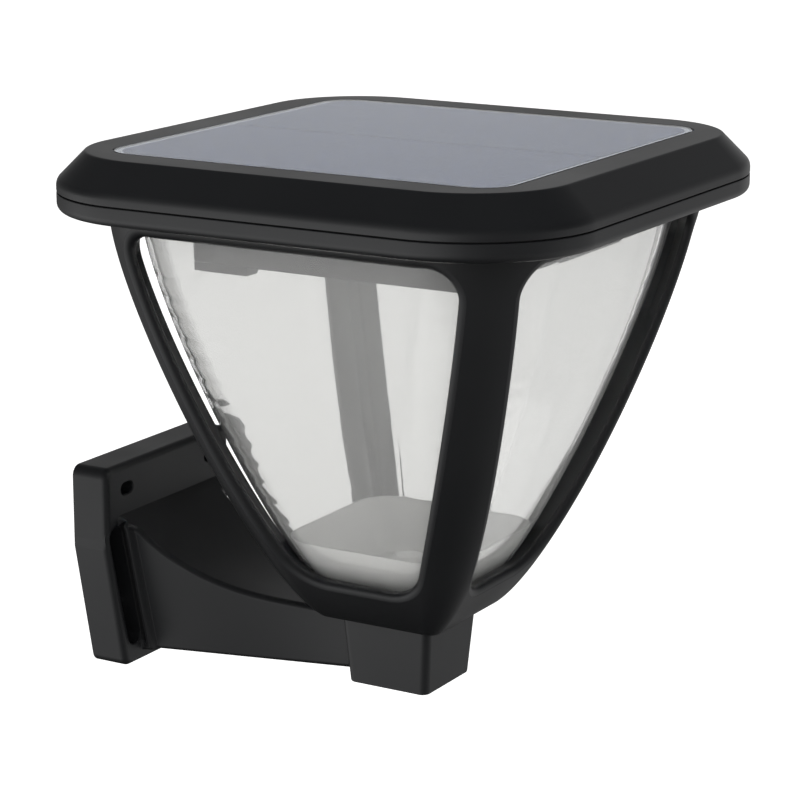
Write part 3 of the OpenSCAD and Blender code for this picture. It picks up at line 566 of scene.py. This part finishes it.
def window_outline(low=18.3, high=144.6, low_radius=17, high_radius=9):
    """Points and outward normals of a window seen square on, from the middle of its sill to the right."""
    samples = [(window_side(low + (high - low) * i / 400), low + (high - low) * i / 400) for i in range(401)]
    ends = []
    for level, radius in ((low + low_radius, low_radius), (high - high_radius, high_radius)):
        inner, outer = 0.0, 80.0
        for _ in range(40):
            x = (inner + outer) / 2
            near = min(samples, key=lambda p: math.hypot(p[0] - x, p[1] - level))
            reach = math.hypot(near[0] - x, near[1] - level)
            inner, outer = (x, outer) if near[0] > x and reach > radius else (inner, x)
        ends.append((x, level, near))
    (x0, z0, low_touch), (x1, z1, high_touch) = ends
    angle0 = math.degrees(math.atan2(low_touch[1] - z0, low_touch[0] - x0))
    angle1 = math.degrees(math.atan2(high_touch[1] - z1, high_touch[0] - x1))
    right_half = [(x0 * i / 10, low, 0, -1) for i in range(10)]
    right_half += [(x, z, (x - x0) / low_radius, (z - z0) / low_radius)
                   for x, z in arc(x0, z0, low_radius, -90, angle0, 20)]
    for i in range(1, 40):
        h = low_touch[1] + (high_touch[1] - low_touch[1]) * i / 40
        slope = (window_side(h + 0.5) - window_side(h - 0.5))
        size = math.hypot(1, slope)
        right_half.append((window_side(h), h, 1 / size, -slope / size))
    right_half += [(x, z, (x - x1) / high_radius, (z - z1) / high_radius)
                   for x, z in arc(x1, z1, high_radius, angle1, 90, 14)]
    right_half += [(x1 * (16 - i) / 16, high, 0, 1) for i in range(1, 17)]
    left_half = [(-x, z, -nx, nz) for x, z, nx, nz in reversed(right_half[1:-1])]
    return right_half + left_half


def face_depth(x, h):
    """Distance of the cage's outside from the centre line, square on to one of its faces."""
    half = cage_half(max(0, min(CAGE_HIGH, h)))
    corner = cage_corner(half)
    past = max(0, abs(x) - half + corner)
    return half - corner + math.sqrt(max(0, corner ** 2 - past ** 2))


# The windows' edges are rounded, and their sides widen inwards, which draws them free of the mould.
outline = window_outline()
round_off, draft = 4.2, 3    # rounding of the window's edge, and how far its sides widen inwards
window_rings = [[(x + nx * 36, 110, h + nz * 36) for x, h, nx, nz in outline]]
for angle in range(10, 100, 10):
    out = round_off * (1 - math.sin(math.radians(angle)))
    drop = round_off * (1 - math.cos(math.radians(angle)))
    if angle == 10:
        window_rings.append([
            (x + nx * (out + 2), face_depth(x + nx * out, h + nz * out) + 1.5, h + nz * (out + 2))
            for x, h, nx, nz in outline])
    window_rings.append([(x + nx * out, face_depth(x + nx * out, h + nz * out) - drop, h + nz * out)
                         for x, h, nx, nz in outline])
window_rings.append([(x + nx * draft, face_depth(x, h) - FRAME_DEPTH - 1, h + nz * draft * 0.4)
                     for x, h, nx, nz in outline])
window_rings.append([(x + nx * draft, 10, h + nz * draft * 0.4) for x, h, nx, nz in outline])
for turn in range(4):
    c, s = ((1, 0), (0, 1), (-1, 0), (0, -1))[turn]
    combine(cage, loft("window", [[(x * c + d * s, x * s - d * c - LANTERN, SEAT + h) for x, d, h in ring]
                                  for ring in window_rings]))
for sx in (-1, 1):
    for sy in (-1, 1):
        combine(cage, turned("screw_hole", [(TAPPED, 119.6), (TAPPED, 137)],
                             sx * CAGE_SCREWS, sy * CAGE_SCREWS - LANTERN, 24))
combine(cage, turned("insert_hole", [(4.25, SEAT - 1), (4.25, SEAT + 8)], steps=32))
soften(cage, 35)
dress(cage, abs_black, "light", "black_plastic", "cage")

# Reflector dish
# A white polystyrene dish lies on the shade's floor and throws the light out of the windows. It follows the
# shade's walls up to a plain rim, and a low cone rises from the middle of its floor.


def shade_round(half):
    """Corner radius of the clear shade, rounder than the cage round it."""
    return min(half - 1, 41.5 - (78.7 - half) * 0.62)


def shade_ring(h, half, extra):
    """Ring of the clear shade's outside, grown by extra, by the cage's half width there."""
    return square_ring(half - FRAME_DEPTH + extra, shade_round(half - FRAME_DEPTH) + extra, SEAT + h, 24)


dish_foot, dish_top, dish_floor = 12.3, 31, 13.5
outer, inner = -2.8, -4    # the dish's outer and inner face, from the shade's outside
cone_half, cone_top, cone_rise = 19, 5, 7    # half widths of the cone's foot and top, and its height
levels = [dish_foot + 0.6 * i for i in range(1, 32)]
dish_rings = [square_ring(r, r - 0.03, SEAT + dish_foot, 24) for r in (6, 16)]
dish_rings += [shade_ring(dish_foot, cage_half(dish_foot), outer - 0.7)]
dish_rings += [shade_ring(h, cage_half(h), outer) for h in levels if h < dish_top - 0.2]
for drop, inset in ((0.1, outer - 0.15), (0, (outer + inner) / 2), (0.1, inner + 0.15)):
    dish_rings.append(shade_ring(dish_top - drop, cage_half(dish_top - drop), inset))
dish_rings += [shade_ring(h, cage_half(h), inner) for h in reversed(levels)
               if dish_floor + 1.5 < h < dish_top - 0.2]
for rise, inset in ((0.7, inner - 0.3), (0.2, inner - 1), (0, inner - 2)):
    dish_rings.append(shade_ring(dish_floor + rise, cage_half(dish_floor + rise), inset))
for i in range(3):
    half = cone_half + 0.3 - 0.3 * i
    dish_rings.append(square_ring(half, half - 0.1, SEAT + dish_floor + 0.3 * i, 24))
cone_foot = SEAT + dish_floor + 0.6
for i in range(1, 16):
    half = cone_half - (cone_half - cone_top) * i / 16
    dish_rings.append(square_ring(half, half - 0.1, cone_foot + cone_rise * (i / 16) ** 1.25, 24))
dish_rings += [square_ring(cone_top - 0.1, cone_top - 0.2, cone_foot + cone_rise, 24),
               square_ring(cone_top - 0.8, cone_top - 0.9, cone_foot + cone_rise + 0.2, 24)]
dish = loft("reflector_dish", dish_rings)
soften(dish, 40)

# High-impact polystyrene moulded white against a polished tool: bright, glossy, with a slight flow pattern.
white_styrene, tree, shader = start_material("moulded_white_polystyrene", "f1f1ef", 0.16, 1.59)
place = add_node(tree, "ShaderNodeTexCoord").outputs["Object"]
flow = add_node(tree, "ShaderNodeTexNoise", {"Vector": place, "Scale": 70, "Detail": 2})
tone = add_node(tree, "ShaderNodeMix", {
    "Factor": flow.outputs["Fac"], "A": linear("f4f4f2"), "B": linear("fbfbfa")}, data_type="RGBA")
tree.links.new(tone.outputs["Result"], shader.inputs["Base Color"])
relief = add_node(tree, "ShaderNodeBump", {
    "Strength": 0.15, "Distance": 0.0003, "Height": flow.outputs["Fac"]})
tree.links.new(relief.outputs[0], shader.inputs["Normal"])
dress(dish, white_styrene, "light", "white_plastic", "light_cone")

# Shade and its seal
# A clear shade of 2 mm polystyrene lines the cage and hangs by its flange, under a rubber ring. Very low
# prism ribs cross the inside of its corners, one every 7.3 mm, and spread the light round the cage's ribs.

SHADE_WALL = 2
RIB_PITCH = 7.3
FLANGE, FLANGE_CORNER = 83.8, 37.8    # half width and corner radius of the shade's flange


def ribbed_ring(h, half, rise):
    """Inner ring of the shade, with its corners thicker by rise."""
    corner, ring = shade_round(half - FRAME_DEPTH) - SHADE_WALL, []
    centre = half - FRAME_DEPTH - SHADE_WALL - corner
    for quarter, (sx, sy) in enumerate(QUARTERS):
        for i in range(25):
            turn = math.radians(90 * quarter + 3.75 * i)
            reach = corner - rise * min(1, 2.2 * math.sin(math.pi * i / 24))
            ring.append((sx * centre + reach * math.cos(turn), sy * centre + reach * math.sin(turn) - LANTERN,
                         SEAT + h))
    return ring


shade_rings = [shade_ring(10.3, cage_half(10.3), -1.3), shade_ring(10.7, cage_half(10.7), -0.4)]
shade_rings += [shade_ring(h, half, 0) for h, half in outside if 11.8 < h < 146.4]
shade_rings += [shade_ring(146.6, cage_half(146.6), 0),
                square_ring(FLANGE - 0.3, FLANGE_CORNER - 0.3, SEAT + 146.6, 24),
                square_ring(FLANGE, FLANGE_CORNER, SEAT + 146.9, 24),
                square_ring(FLANGE, FLANGE_CORNER, SEAT + 147.5, 24),
                square_ring(FLANGE - 0.3, FLANGE_CORNER - 0.3, SEAT + 147.8, 24),
                shade_ring(147.8, cage_half(147.8), -SHADE_WALL)]
for i in reversed(range(106)):
    h = 14.4 + RIB_PITCH * i / 6
    rise = {2: 0.04, 3: 0.1, 4: 0.04}.get(i % 6, 0) if 34 < h < 132 else 0
    shade_rings.append(ribbed_ring(h, cage_half(h), rise))
shade_rings += [shade_ring(12.3, cage_half(12.3), -3)]
shade = loft("clear_shade", shade_rings)
for sx in (-1, 1):
    for sy in (-1, 1):
        combine(shade, turned("screw_hole", [(CLEARANCE, 132), (CLEARANCE, 136)],
                              sx * CAGE_SCREWS, sy * CAGE_SCREWS - LANTERN, 24))
soften(shade, 40)

# Injection-moulded clear polystyrene: faint grey tint, glossy, with slow waves that bend what is behind it.
# Part of the light scatters in it, as in sun-proofed grades, so black behind it looks grey.
clear, tree, shader = start_material("clear_polystyrene", "f0f0ef", 0.03, 1.49)
shader.inputs["Transmission Weight"].default_value = 0.87
place = add_node(tree, "ShaderNodeTexCoord").outputs["Object"]
waves = add_node(tree, "ShaderNodeTexNoise", {"Vector": place, "Scale": 45, "Detail": 1})
bend = add_node(tree, "ShaderNodeBump", {"Strength": 0.2, "Distance": 0.0004, "Height": waves.outputs["Fac"]})
tree.links.new(bend.outputs[0], shader.inputs["Normal"])
dress(shade, clear, "light", "shade_clear", "shade")

# EPDM ring, extruded and matt, greyed slightly by talc.
rubber, tree, shader = start_material("epdm_rubber", "1a1a1a", 0.75, 1.5)
place = add_node(tree, "ShaderNodeTexCoord").outputs["Object"]
talc = add_node(tree, "ShaderNodeTexNoise", {"Vector": place, "Scale": 500, "Detail": 4})
tone = add_node(tree, "ShaderNodeMix", {
    "Factor": talc.outputs["Fac"], "A": linear("131313"), "B": linear("242424")}, data_type="RGBA")
tree.links.new(tone.outputs["Result"], shader.inputs["Base Color"])
paint(rubber, "shade_seal", "lid_seal")

# Lid tray
# The lower half of the lid closes the cage: an ABS moulding with the square light chamber in its middle, the
# recesses of the lid's four screws and the collar of the power button under its overhang.

CAGE_TOP = SEAT + CAGE_HIGH
SEAM = CAGE_TOP + 8.4
CORNER = 55            # centre of the lid's corner curves, from the centre line
CHAMBER, CHAMBER_FOOT = 55, 119    # half width of the light chamber, and the height of its foot


def lid_ring(past, z):
    """Ring of the lid, by its distance past the centres of its corner curves."""
    return square_ring(CORNER + past, past, z, 24)


tray_rings = [
    square_ring(CHAMBER + grow, corner, z, 24) for grow, corner, z in (
        (-5, 1, CHAMBER_FOOT), (-0.5, 2.5, CHAMBER_FOOT), (0, 3, CHAMBER_FOOT + 0.5), (0, 3, CAGE_TOP - 0.6),
        (0.18, 3.2, CAGE_TOP - 0.18), (0.6, 3.6, CAGE_TOP))]
tray_rings += [lid_ring(32, CAGE_TOP)]
tray_rings += [lid_ring(x, z) for x, z in arc(42, CAGE_TOP + 4.8, 3, -90, 0, 10)]
tray_rings += [lid_ring(45, SEAM - 0.35), lid_ring(44.9, SEAM - 0.1), lid_ring(44.65, SEAM),
               lid_ring(42.2, SEAM), lid_ring(42.2, SEAM + 2), lid_ring(40.7, SEAM + 2),
               lid_ring(40.7, CAGE_TOP + 4), lid_ring(32, CAGE_TOP + 2.2),
               square_ring(CHAMBER - 2, 1, CAGE_TOP + 2.2, 24),
               square_ring(CHAMBER - 2, 1, CHAMBER_FOOT + 1.5, 24),
               square_ring(CHAMBER - 5, 1, CHAMBER_FOOT + 1.5, 24)]
tray = loft("lid_tray_moulding", tray_rings, loop=True)
LID_SCREWS = 78.48     # the lid's screws, from the centre line each way
button_x = 91.2
for sx in (-1, 1):
    for sy in (-1, 1):
        x, y = sx * LID_SCREWS, sy * LID_SCREWS - LANTERN
        combine(tray, turned("pillar", [(4.7, CAGE_TOP + 2.4), (4.7, CAGE_TOP + 6.2)], x, y, 32), "UNION")
        combine(tray, turned("recess", [(4.2, CAGE_TOP - 2), (3.4, CAGE_TOP + 1.6), (3.1, CAGE_TOP + 2),
                                        (3.1, CAGE_TOP + 3.8)], x, y, 32))
        combine(tray, turned("shank_hole", [(CLEARANCE, CAGE_TOP + 2), (CLEARANCE, CAGE_TOP + 9)], x, y, 24))
        combine(tray, turned("shank_hole", [(CLEARANCE, CAGE_TOP - 1), (CLEARANCE, CAGE_TOP + 4)],
                             sx * CAGE_SCREWS, sy * CAGE_SCREWS - LANTERN, 24))
combine(tray, turned("collar", [(4.5, CAGE_TOP - 0.6), (4.9, CAGE_TOP - 0.2), (4.9, CAGE_TOP + 4)],
                     button_x, steps=48), "UNION")
combine(tray, turned("button_hole", [(4.1, CAGE_TOP - 1.2), (3.55, CAGE_TOP - 0.2), (3.55, CAGE_TOP + 8)],
                     button_x, steps=48))
for side in (-1, 1):
    combine(tray, turned("stand", [(1.8, CAGE_TOP + 2.4), (1.8, 146.9)],
                         button_x, side * 8 - LANTERN, 24), "UNION")
soften(tray, 32)

# The lid is moulded in the same ABS in a finer tool, so it is a little smoother than the cage and takes a
# long soft highlight along its bevel.
abs_lid, tree, shader = start_material("moulded_black_abs_fine", "191a1c", 0.36, 1.6)
place = add_node(tree, "ShaderNodeTexCoord").outputs["Object"]
grain = add_node(tree, "ShaderNodeTexNoise", {"Vector": place, "Scale": 1800, "Detail": 3, "Roughness": 0.6})
flow = add_node(tree, "ShaderNodeTexNoise", {"Vector": place, "Scale": 16, "Detail": 2})
sheen = add_node(tree, "ShaderNodeMapRange", {"Value": flow.outputs["Fac"], "From Min": 0.3, "From Max": 0.7,
                                              "To Min": 0.33, "To Max": 0.4})
tree.links.new(sheen.outputs[0], shader.inputs["Roughness"])
tone = add_node(tree, "ShaderNodeMix", {
    "Factor": flow.outputs["Fac"], "A": linear("151618"), "B": linear("1a1b1d")}, data_type="RGBA")
tree.links.new(tone.outputs["Result"], shader.inputs["Base Color"])
relief = add_node(tree, "ShaderNodeBump", {
    "Strength": 0.3, "Distance": 0.00003, "Height": grain.outputs["Fac"]})
tree.links.new(relief.outputs[0], shader.inputs["Normal"])
dress(tray, abs_lid, "light", "lid_plastic", "lid_tray")

# Light plate, wire cover, LED board and battery
# A white plate closes the chamber from below and glows when the lamp is on. Over it lie the LED board, the
# control board and the battery in its holder. A small cover hides the cable joint at the chamber's corner.

# White acrylic with a light-scattering filler: bright, faintly warm, with a soft satin face.
opal, tree, shader = start_material("opal_acrylic", "eeeeea", 0.35, 1.49)
shader.inputs["Subsurface Weight"].default_value = 0.1
place = add_node(tree, "ShaderNodeTexCoord").outputs["Object"]
cloud = add_node(tree, "ShaderNodeTexNoise", {"Vector": place, "Scale": 60, "Detail": 2})
tone = add_node(tree, "ShaderNodeMix", {
    "Factor": cloud.outputs["Fac"], "A": linear("e8e8e4"), "B": linear("f3f3f0")}, data_type="RGBA")
tree.links.new(tone.outputs["Result"], shader.inputs["Base Color"])

# Fibreglass board under a green lacquer; the copper tracks show as paler runs about 3 mm apart.
circuit, tree, shader = start_material("lacquered_circuit_board", "1f6b3c", 0.3, 1.55)
place = add_node(tree, "ShaderNodeTexCoord").outputs["Object"]
tracks = add_node(tree, "ShaderNodeTexVoronoi", {"Vector": place, "Scale": 330}, distance="MANHATTAN",
                  feature="DISTANCE_TO_EDGE")
step = add_node(tree, "ShaderNodeMath", {0: tracks.outputs["Distance"], 1: 0.12}, operation="LESS_THAN")
tone = add_node(tree, "ShaderNodeMix", {
    "Factor": step.outputs[0], "A": linear("17552f"), "B": linear("2c7d4a")}, data_type="RGBA")
tree.links.new(tone.outputs["Result"], shader.inputs["Base Color"])
relief = add_node(tree, "ShaderNodeBump", {"Strength": 0.3, "Distance": 0.00004, "Height": step.outputs[0]})
tree.links.new(relief.outputs[0], shader.inputs["Normal"])

# Aluminium-backed LED board in white lacquer, which is glossy and slightly uneven over its tracks.
white_lacquer, tree, shader = start_material("white_lacquered_board", "e6e6e2", 0.28, 1.55)
place = add_node(tree, "ShaderNodeTexCoord").outputs["Object"]
tracks = add_node(tree, "ShaderNodeTexVoronoi", {"Vector": place, "Scale": 200}, distance="MANHATTAN",
                  feature="DISTANCE_TO_EDGE")
step = add_node(tree, "ShaderNodeMath", {0: tracks.outputs["Distance"], 1: 0.1}, operation="LESS_THAN")
tone = add_node(tree, "ShaderNodeMix", {
    "Factor": step.outputs[0], "A": linear("e8e8e4"), "B": linear("d9d9d3")}, data_type="RGBA")
tree.links.new(tone.outputs["Result"], shader.inputs["Base Color"])
relief = add_node(tree, "ShaderNodeBump", {"Strength": 0.3, "Distance": 0.00004, "Height": step.outputs[0]})
tree.links.new(relief.outputs[0], shader.inputs["Normal"])

# Silicone filled with yellow phosphor, soft and slightly grainy.
phosphor, tree, shader = start_material("phosphor_silicone", "e8cf6a", 0.4, 1.41)
place = add_node(tree, "ShaderNodeTexCoord").outputs["Object"]
grains = add_node(tree, "ShaderNodeTexNoise", {"Vector": place, "Scale": 2500, "Detail": 2})
tone = add_node(tree, "ShaderNodeMix", {
    "Factor": grains.outputs["Fac"], "A": linear("dcc056"), "B": linear("f2dd86")}, data_type="RGBA")
tree.links.new(tone.outputs["Result"], shader.inputs["Base Color"])

# Shrunk PVC sleeve on the cell: glossy blue with slight pulls where it shrank.
sleeve, tree, shader = start_material("shrunk_pvc_sleeve", "2d66a0", 0.25, 1.53)
place = add_node(tree, "ShaderNodeTexCoord").outputs["Object"]
pulls = add_node(tree, "ShaderNodeTexNoise", {"Vector": place, "Scale": 180, "Detail": 2})
tone = add_node(tree, "ShaderNodeMix", {
    "Factor": pulls.outputs["Fac"], "A": linear("285c92"), "B": linear("3270ad")}, data_type="RGBA")
tree.links.new(tone.outputs["Result"], shader.inputs["Base Color"])
relief = add_node(tree, "ShaderNodeBump", {
    "Strength": 0.3, "Distance": 0.0002, "Height": pulls.outputs["Fac"]})
tree.links.new(relief.outputs[0], shader.inputs["Normal"])

# Nickel-plated spring strip for the battery contacts: warm bright metal with rolling marks.
nickel, tree, shader = start_material("nickel_plated_strip", "cfc7b4", 0.22)
shader.inputs["Metallic"].default_value = 1
place = add_node(tree, "ShaderNodeTexCoord").outputs["Object"]
rolled = add_node(tree, "ShaderNodeTexNoise", {"Vector": place, "Scale": 700, "Detail": 3})
tone = add_node(tree, "ShaderNodeMix", {
    "Factor": rolled.outputs["Fac"], "A": linear("bdb49f"), "B": linear("ddd6c6")}, data_type="RGBA")
tree.links.new(tone.outputs["Result"], shader.inputs["Base Color"])

paint(opal, "light_plate")
paint(circuit, "control_board")
paint(white_lacquer, "led_board")
paint(sleeve, "battery")
paint(nickel, "battery_contacts")
paint(abs_black, "battery_holder", "wire_cover")

# Screws and diodes
# Cross-recessed pan-head screws stand two by two and the light-emitting diodes five by five. One node tree
# sets a part out over a square grid and turns each screw its own way, and the result is kept as plain mesh.

spread = bpy.data.node_groups.new("parts_on_a_grid", "GeometryNodeTree")
sockets = {}
for name, kind in (("Part", "Object"), ("Across", "Int"), ("Span", "Float"), ("Height", "Float"),
                   ("Twist", "Float"), ("Material", "Material")):
    socket = spread.interface.new_socket(name, in_out="INPUT", socket_type="NodeSocket" + kind)
    sockets[name] = socket.identifier
spread.interface.new_socket("Geometry", in_out="OUTPUT", socket_type="NodeSocketGeometry")
given = add_node(spread, "NodeGroupInput").outputs
grid = add_node(spread, "GeometryNodeMeshGrid", {
    "Size X": given["Span"], "Size Y": given["Span"], "Vertices X": given["Across"],
    "Vertices Y": given["Across"]})
centre = add_node(spread, "ShaderNodeCombineXYZ", {"Y": -LANTERN / 1000, "Z": given["Height"]})
placed = add_node(spread, "GeometryNodeTransform", {
    "Geometry": grid.outputs["Mesh"], "Translation": centre.outputs[0]})
template = add_node(spread, "GeometryNodeObjectInfo", {"Object": given["Part"]})
twist = add_node(spread, "FunctionNodeRandomValue", {2: 0.0, 3: given["Twist"], "Seed": 7})
turn = add_node(spread, "ShaderNodeCombineXYZ", {"Z": twist.outputs[1]})
copies = add_node(spread, "GeometryNodeInstanceOnPoints", {
    "Points": placed.outputs["Geometry"], "Instance": template.outputs["Geometry"],
    "Rotation": turn.outputs[0]})
solid = add_node(spread, "GeometryNodeRealizeInstances", {"Geometry": copies.outputs["Instances"]})
painted = add_node(spread, "GeometryNodeSetMaterial", {
    "Geometry": solid.outputs["Geometry"], "Material": given["Material"]})
add_node(spread, "NodeGroupOutput", {"Geometry": painted.outputs["Geometry"]})


def set_out(name, part, across, span, height, twist, material):
    """Plain mesh of copies of a part on a square grid; the part is used up."""
    host = bpy.data.objects.new(name, bpy.data.meshes.new(name))
    scene.collection.objects.link(host)
    step = host.modifiers.new("spread", "NODES")
    step.node_group = spread
    for socket, value in (("Part", part), ("Across", across), ("Span", span / 1000),
                          ("Height", height / 1000), ("Twist", twist), ("Material", material)):
        step[sockets[socket]] = value
    keep_result(host)
    bpy.data.objects.remove(part)
    return host


def screw(length, upward):
    """Pan-head screw with its head's seat at the origin and its shank running down, or up."""
    pitch = 0.8
    profile = [(0, 2), (1.5, 1.94), (2.2, 1.6), (2.62, 1.05), (2.8, 0.45), (2.76, 0.08), (2.66, 0), (1.2, 0)]
    for i in range(int((length - 2 * pitch) / pitch)):
        profile += [(1.12, -0.3 - pitch * i), (1.45, -0.62 - pitch * i), (1.45, -0.72 - pitch * i)]
    profile += [(1.1, -length + 1), (0, -length)]
    sign = -1 if upward else 1
    piece = turned("screw", [(r, z * sign) for r, z in profile], y=0, steps=32)
    cross = [[(x * reach, y * reach, z * sign) for x, y in
              ((1, -0.3), (1, 0.3), (0.3, 0.3), (0.3, 1), (-0.3, 1), (-0.3, 0.3),
               (-1, 0.3), (-1, -0.3), (-0.3, -0.3), (-0.3, -1), (0.3, -1), (0.3, -0.3))]
             for reach, z in ((0.7, 0.8), (1.55, 2.2))]
    combine(piece, loft("cross_recess", cross))
    return soften(piece, 40)


def diode_ring(wide, deep, radius, z):
    return [(x, y, z) for x, y in rounded_rectangle(wide, deep, radius, 6)]


diode = loft("diode", [
    diode_ring(1.75, 1.4, 0.2, 1), diode_ring(1.75, 1.4, 0.2, 0.5), diode_ring(1.6, 1.25, 0.2, 0.16),
    diode_ring(1.2, 1.2, 1.15, 0.16), diode_ring(1.02, 1.02, 1, 0.07), diode_ring(0.6, 0.6, 0.58, 0)])
soften(diode, 40)

# Each set has its number across, the distance between its outer ones, the height of its seats and the most
# that a copy turns, in radians.
for name, part, across, span, height, twist, material, slot in (
    ("board_screws", screw(4.6, False), 2, 95.4, 127.6, 6.2, zinc, "screw_steel"),
    ("cage_screws", screw(15, False), 2, 2 * CAGE_SCREWS, 137.8, 6.2, zinc, "screw_steel"),
    ("lid_screws", screw(10, True), 2, 2 * LID_SCREWS, 139.4, 6.2, zinc, "screw_steel"),
    ("leds", diode, 5, 72, 125, 0, phosphor, "led_resin"),
):
    dress(set_out(name + "_set", part, across, span, height, twist, material), material, "light", slot, name)

# Power button and switch
# A soft rubber button stands in a collar under the right-hand overhang, where the lid keeps the rain off it.
# Pressing it pushes a plunger into the switch on its small board.

collar_low = CAGE_TOP - 0.6
profile = [(0, collar_low - 2), (2.3, collar_low - 2)]
profile += [(r, collar_low - 0.8 + z) for r, z in arc(2.3, 0, 1.2, -90, 0, 8)]
profile += [(3.5, 139.6), (4.1, 139.6), (4.1, 140.8), (0, 140.8)]
button = turned("power_button_cap", profile, button_x, steps=48)
soften(button, 40)

# Silicone rubber, matt and a little dusty, softer in its sheen than the plastic round it.
silicone, tree, shader = start_material("moulded_silicone_rubber", "1c1d1f", 0.62, 1.43)
place = add_node(tree, "ShaderNodeTexCoord").outputs["Object"]
dust = add_node(tree, "ShaderNodeTexNoise", {"Vector": place, "Scale": 1200, "Detail": 3})
tone = add_node(tree, "ShaderNodeMix", {
    "Factor": dust.outputs["Fac"], "A": linear("151617"), "B": linear("26282a")}, data_type="RGBA")
tree.links.new(tone.outputs["Result"], shader.inputs["Base Color"])
dress(button, silicone, "button", "button_rubber", "power_button")
paint(opal, "switch_plunger")
paint(abs_black, "switch_body")
paint(circuit, "switch_board")

# Lid cover
# The upper half of the lid: an upright band, a sloping bevel and a flat border round the recess of the panel.
# It is moulded like the tray, and the screws that come up through the tray end in its four pillars.

BAND = SEAM + 4
LID_TOP = BAND + 10
PANEL = 76.5           # half the width of the solar panel
PANEL_CORNER = 12
cover_rings = [square_ring(60, 5, LID_TOP - 4.4, 24), lid_ring(35.9, LID_TOP - 4.4), lid_ring(42.5, BAND - 1),
               lid_ring(42.5, SEAM + 1.2), lid_ring(43.9, SEAM + 1.2), lid_ring(43.9, SEAM + 0.4),
               lid_ring(44.65, SEAM + 0.4), lid_ring(44.9, SEAM + 0.5), lid_ring(45, SEAM + 0.75)]
cover_rings += [lid_ring(x, z) for x, z in arc(41, BAND - 1.66, 4, 0, 45, 8)]
cover_rings += [lid_ring(x, z) for x, z in arc(34.4, LID_TOP - 1.5, 1.5, 45, 90, 6)]
for gap, drop in ((0.55, 0), (0.37, 0.08), (0.3, 0.25), (0.3, 2.4)):
    cover_rings.append(square_ring(PANEL + gap, PANEL_CORNER + gap, LID_TOP - drop, 24))
cover = loft("lid_cover_moulding", cover_rings)
for sx in (-1, 1):
    combine(cover, turned("lead_hole", [(2.5, LID_TOP - 6), (2.5, LID_TOP - 1)],
                          sx * 11.7, -LANTERN - 30, 24))
    for sy in (-1, 1):
        x, y = sx * LID_SCREWS, sy * LID_SCREWS - LANTERN
        combine(cover, turned("pillar", [(3.7, 141.8), (3.7, LID_TOP - 4)], x, y, 32), "UNION")
        combine(cover, turned("thread_hole", [(TAPPED, 141), (TAPPED, 152.8)], x, y, 24))
soften(cover, 32)
dress(cover, abs_lid, "light", "lid_plastic", "lid_cover")

# Solar panel
# Two half wafers lie on a pale board under a clear sheet, flush with the lid. A bare strip of the board shows
# between them and all round, and two insulated wires run down to the control board.

# Textured silicon under its blue nitride coating: grey-blue. The real silver fingers are 2 mm apart and too
# fine to show, so they are drawn faintly every 4 mm.
silicon, tree, shader = start_material("nitride_coated_silicon", "35425f", 0.45, 1.15)
place = add_node(tree, "ShaderNodeTexCoord").outputs["Object"]
across = add_node(tree, "ShaderNodeSeparateXYZ", {0: place})
finger = add_node(tree, "ShaderNodeMath", {0: across.outputs["Y"], 1: 0.002}, operation="PINGPONG")
line = add_node(tree, "ShaderNodeMath", {0: finger.outputs[0], 1: 0.00012}, operation="LESS_THAN")
blotch = add_node(tree, "ShaderNodeTexNoise", {"Vector": place, "Scale": 30, "Detail": 3})
tone = add_node(tree, "ShaderNodeMix", {
    "Factor": blotch.outputs["Fac"], "A": linear("2c3c60"), "B": linear("36466a")}, data_type="RGBA")
wafer = add_node(tree, "ShaderNodeMix", {
    "Factor": line.outputs[0], "A": tone.outputs["Result"], "B": linear("5a667f")}, data_type="RGBA")
tree.links.new(wafer.outputs["Result"], shader.inputs["Base Color"])

# Fibreglass backing board with a pale grey print where no wafer covers it.
backing, tree, shader = start_material("grey_fibreglass_board", "c4c6ca", 0.5, 1.3)
place = add_node(tree, "ShaderNodeTexCoord").outputs["Object"]
weave = add_node(tree, "ShaderNodeTexNoise", {"Vector": place, "Scale": 700, "Detail": 2})
tone = add_node(tree, "ShaderNodeMix", {
    "Factor": weave.outputs["Fac"], "A": linear("bdbfc3"), "B": linear("cbcdd0")}, data_type="RGBA")
tree.links.new(tone.outputs["Result"], shader.inputs["Base Color"])

# Clear PET laminate: glossy but slightly rough from the press, so it mirrors the surround softly.
laminate, tree, shader = start_material("clear_pet_laminate", "e6e9ed", 0.07, 1.15)
shader.inputs["Transmission Weight"].default_value = 1
place = add_node(tree, "ShaderNodeTexCoord").outputs["Object"]
press = add_node(tree, "ShaderNodeTexNoise", {"Vector": place, "Scale": 90, "Detail": 3})
relief = add_node(tree, "ShaderNodeBump", {
    "Strength": 0.15, "Distance": 0.0002, "Height": press.outputs["Fac"]})
tree.links.new(relief.outputs[0], shader.inputs["Normal"])

# Silicone wire insulation.
insulation, tree, shader = start_material("red_silicone_insulation", "a51c1c", 0.35, 1.43)
place = add_node(tree, "ShaderNodeTexCoord").outputs["Object"]
dye = add_node(tree, "ShaderNodeTexNoise", {"Vector": place, "Scale": 400, "Detail": 2})
tone = add_node(tree, "ShaderNodeMix", {
    "Factor": dye.outputs["Fac"], "A": linear("981818"), "B": linear("b52424")}, data_type="RGBA")
tree.links.new(tone.outputs["Result"], shader.inputs["Base Color"])

paint(backing, "panel_backing")
paint(silicon, "solar_cell_left", "solar_cell_right")
paint(insulation, "panel_leads")
sheet = loft("panel_clear_sheet", [
    square_ring(PANEL - inset, PANEL_CORNER - inset, LID_TOP - drop, 24)
    for inset, drop in ((0.1, 0.8), (0, 0.7), (0, 0.2), (0.2, 0))])
soften(sheet, 60)
dress(sheet, laminate, "light", "panel_clear", "panel_sheet")
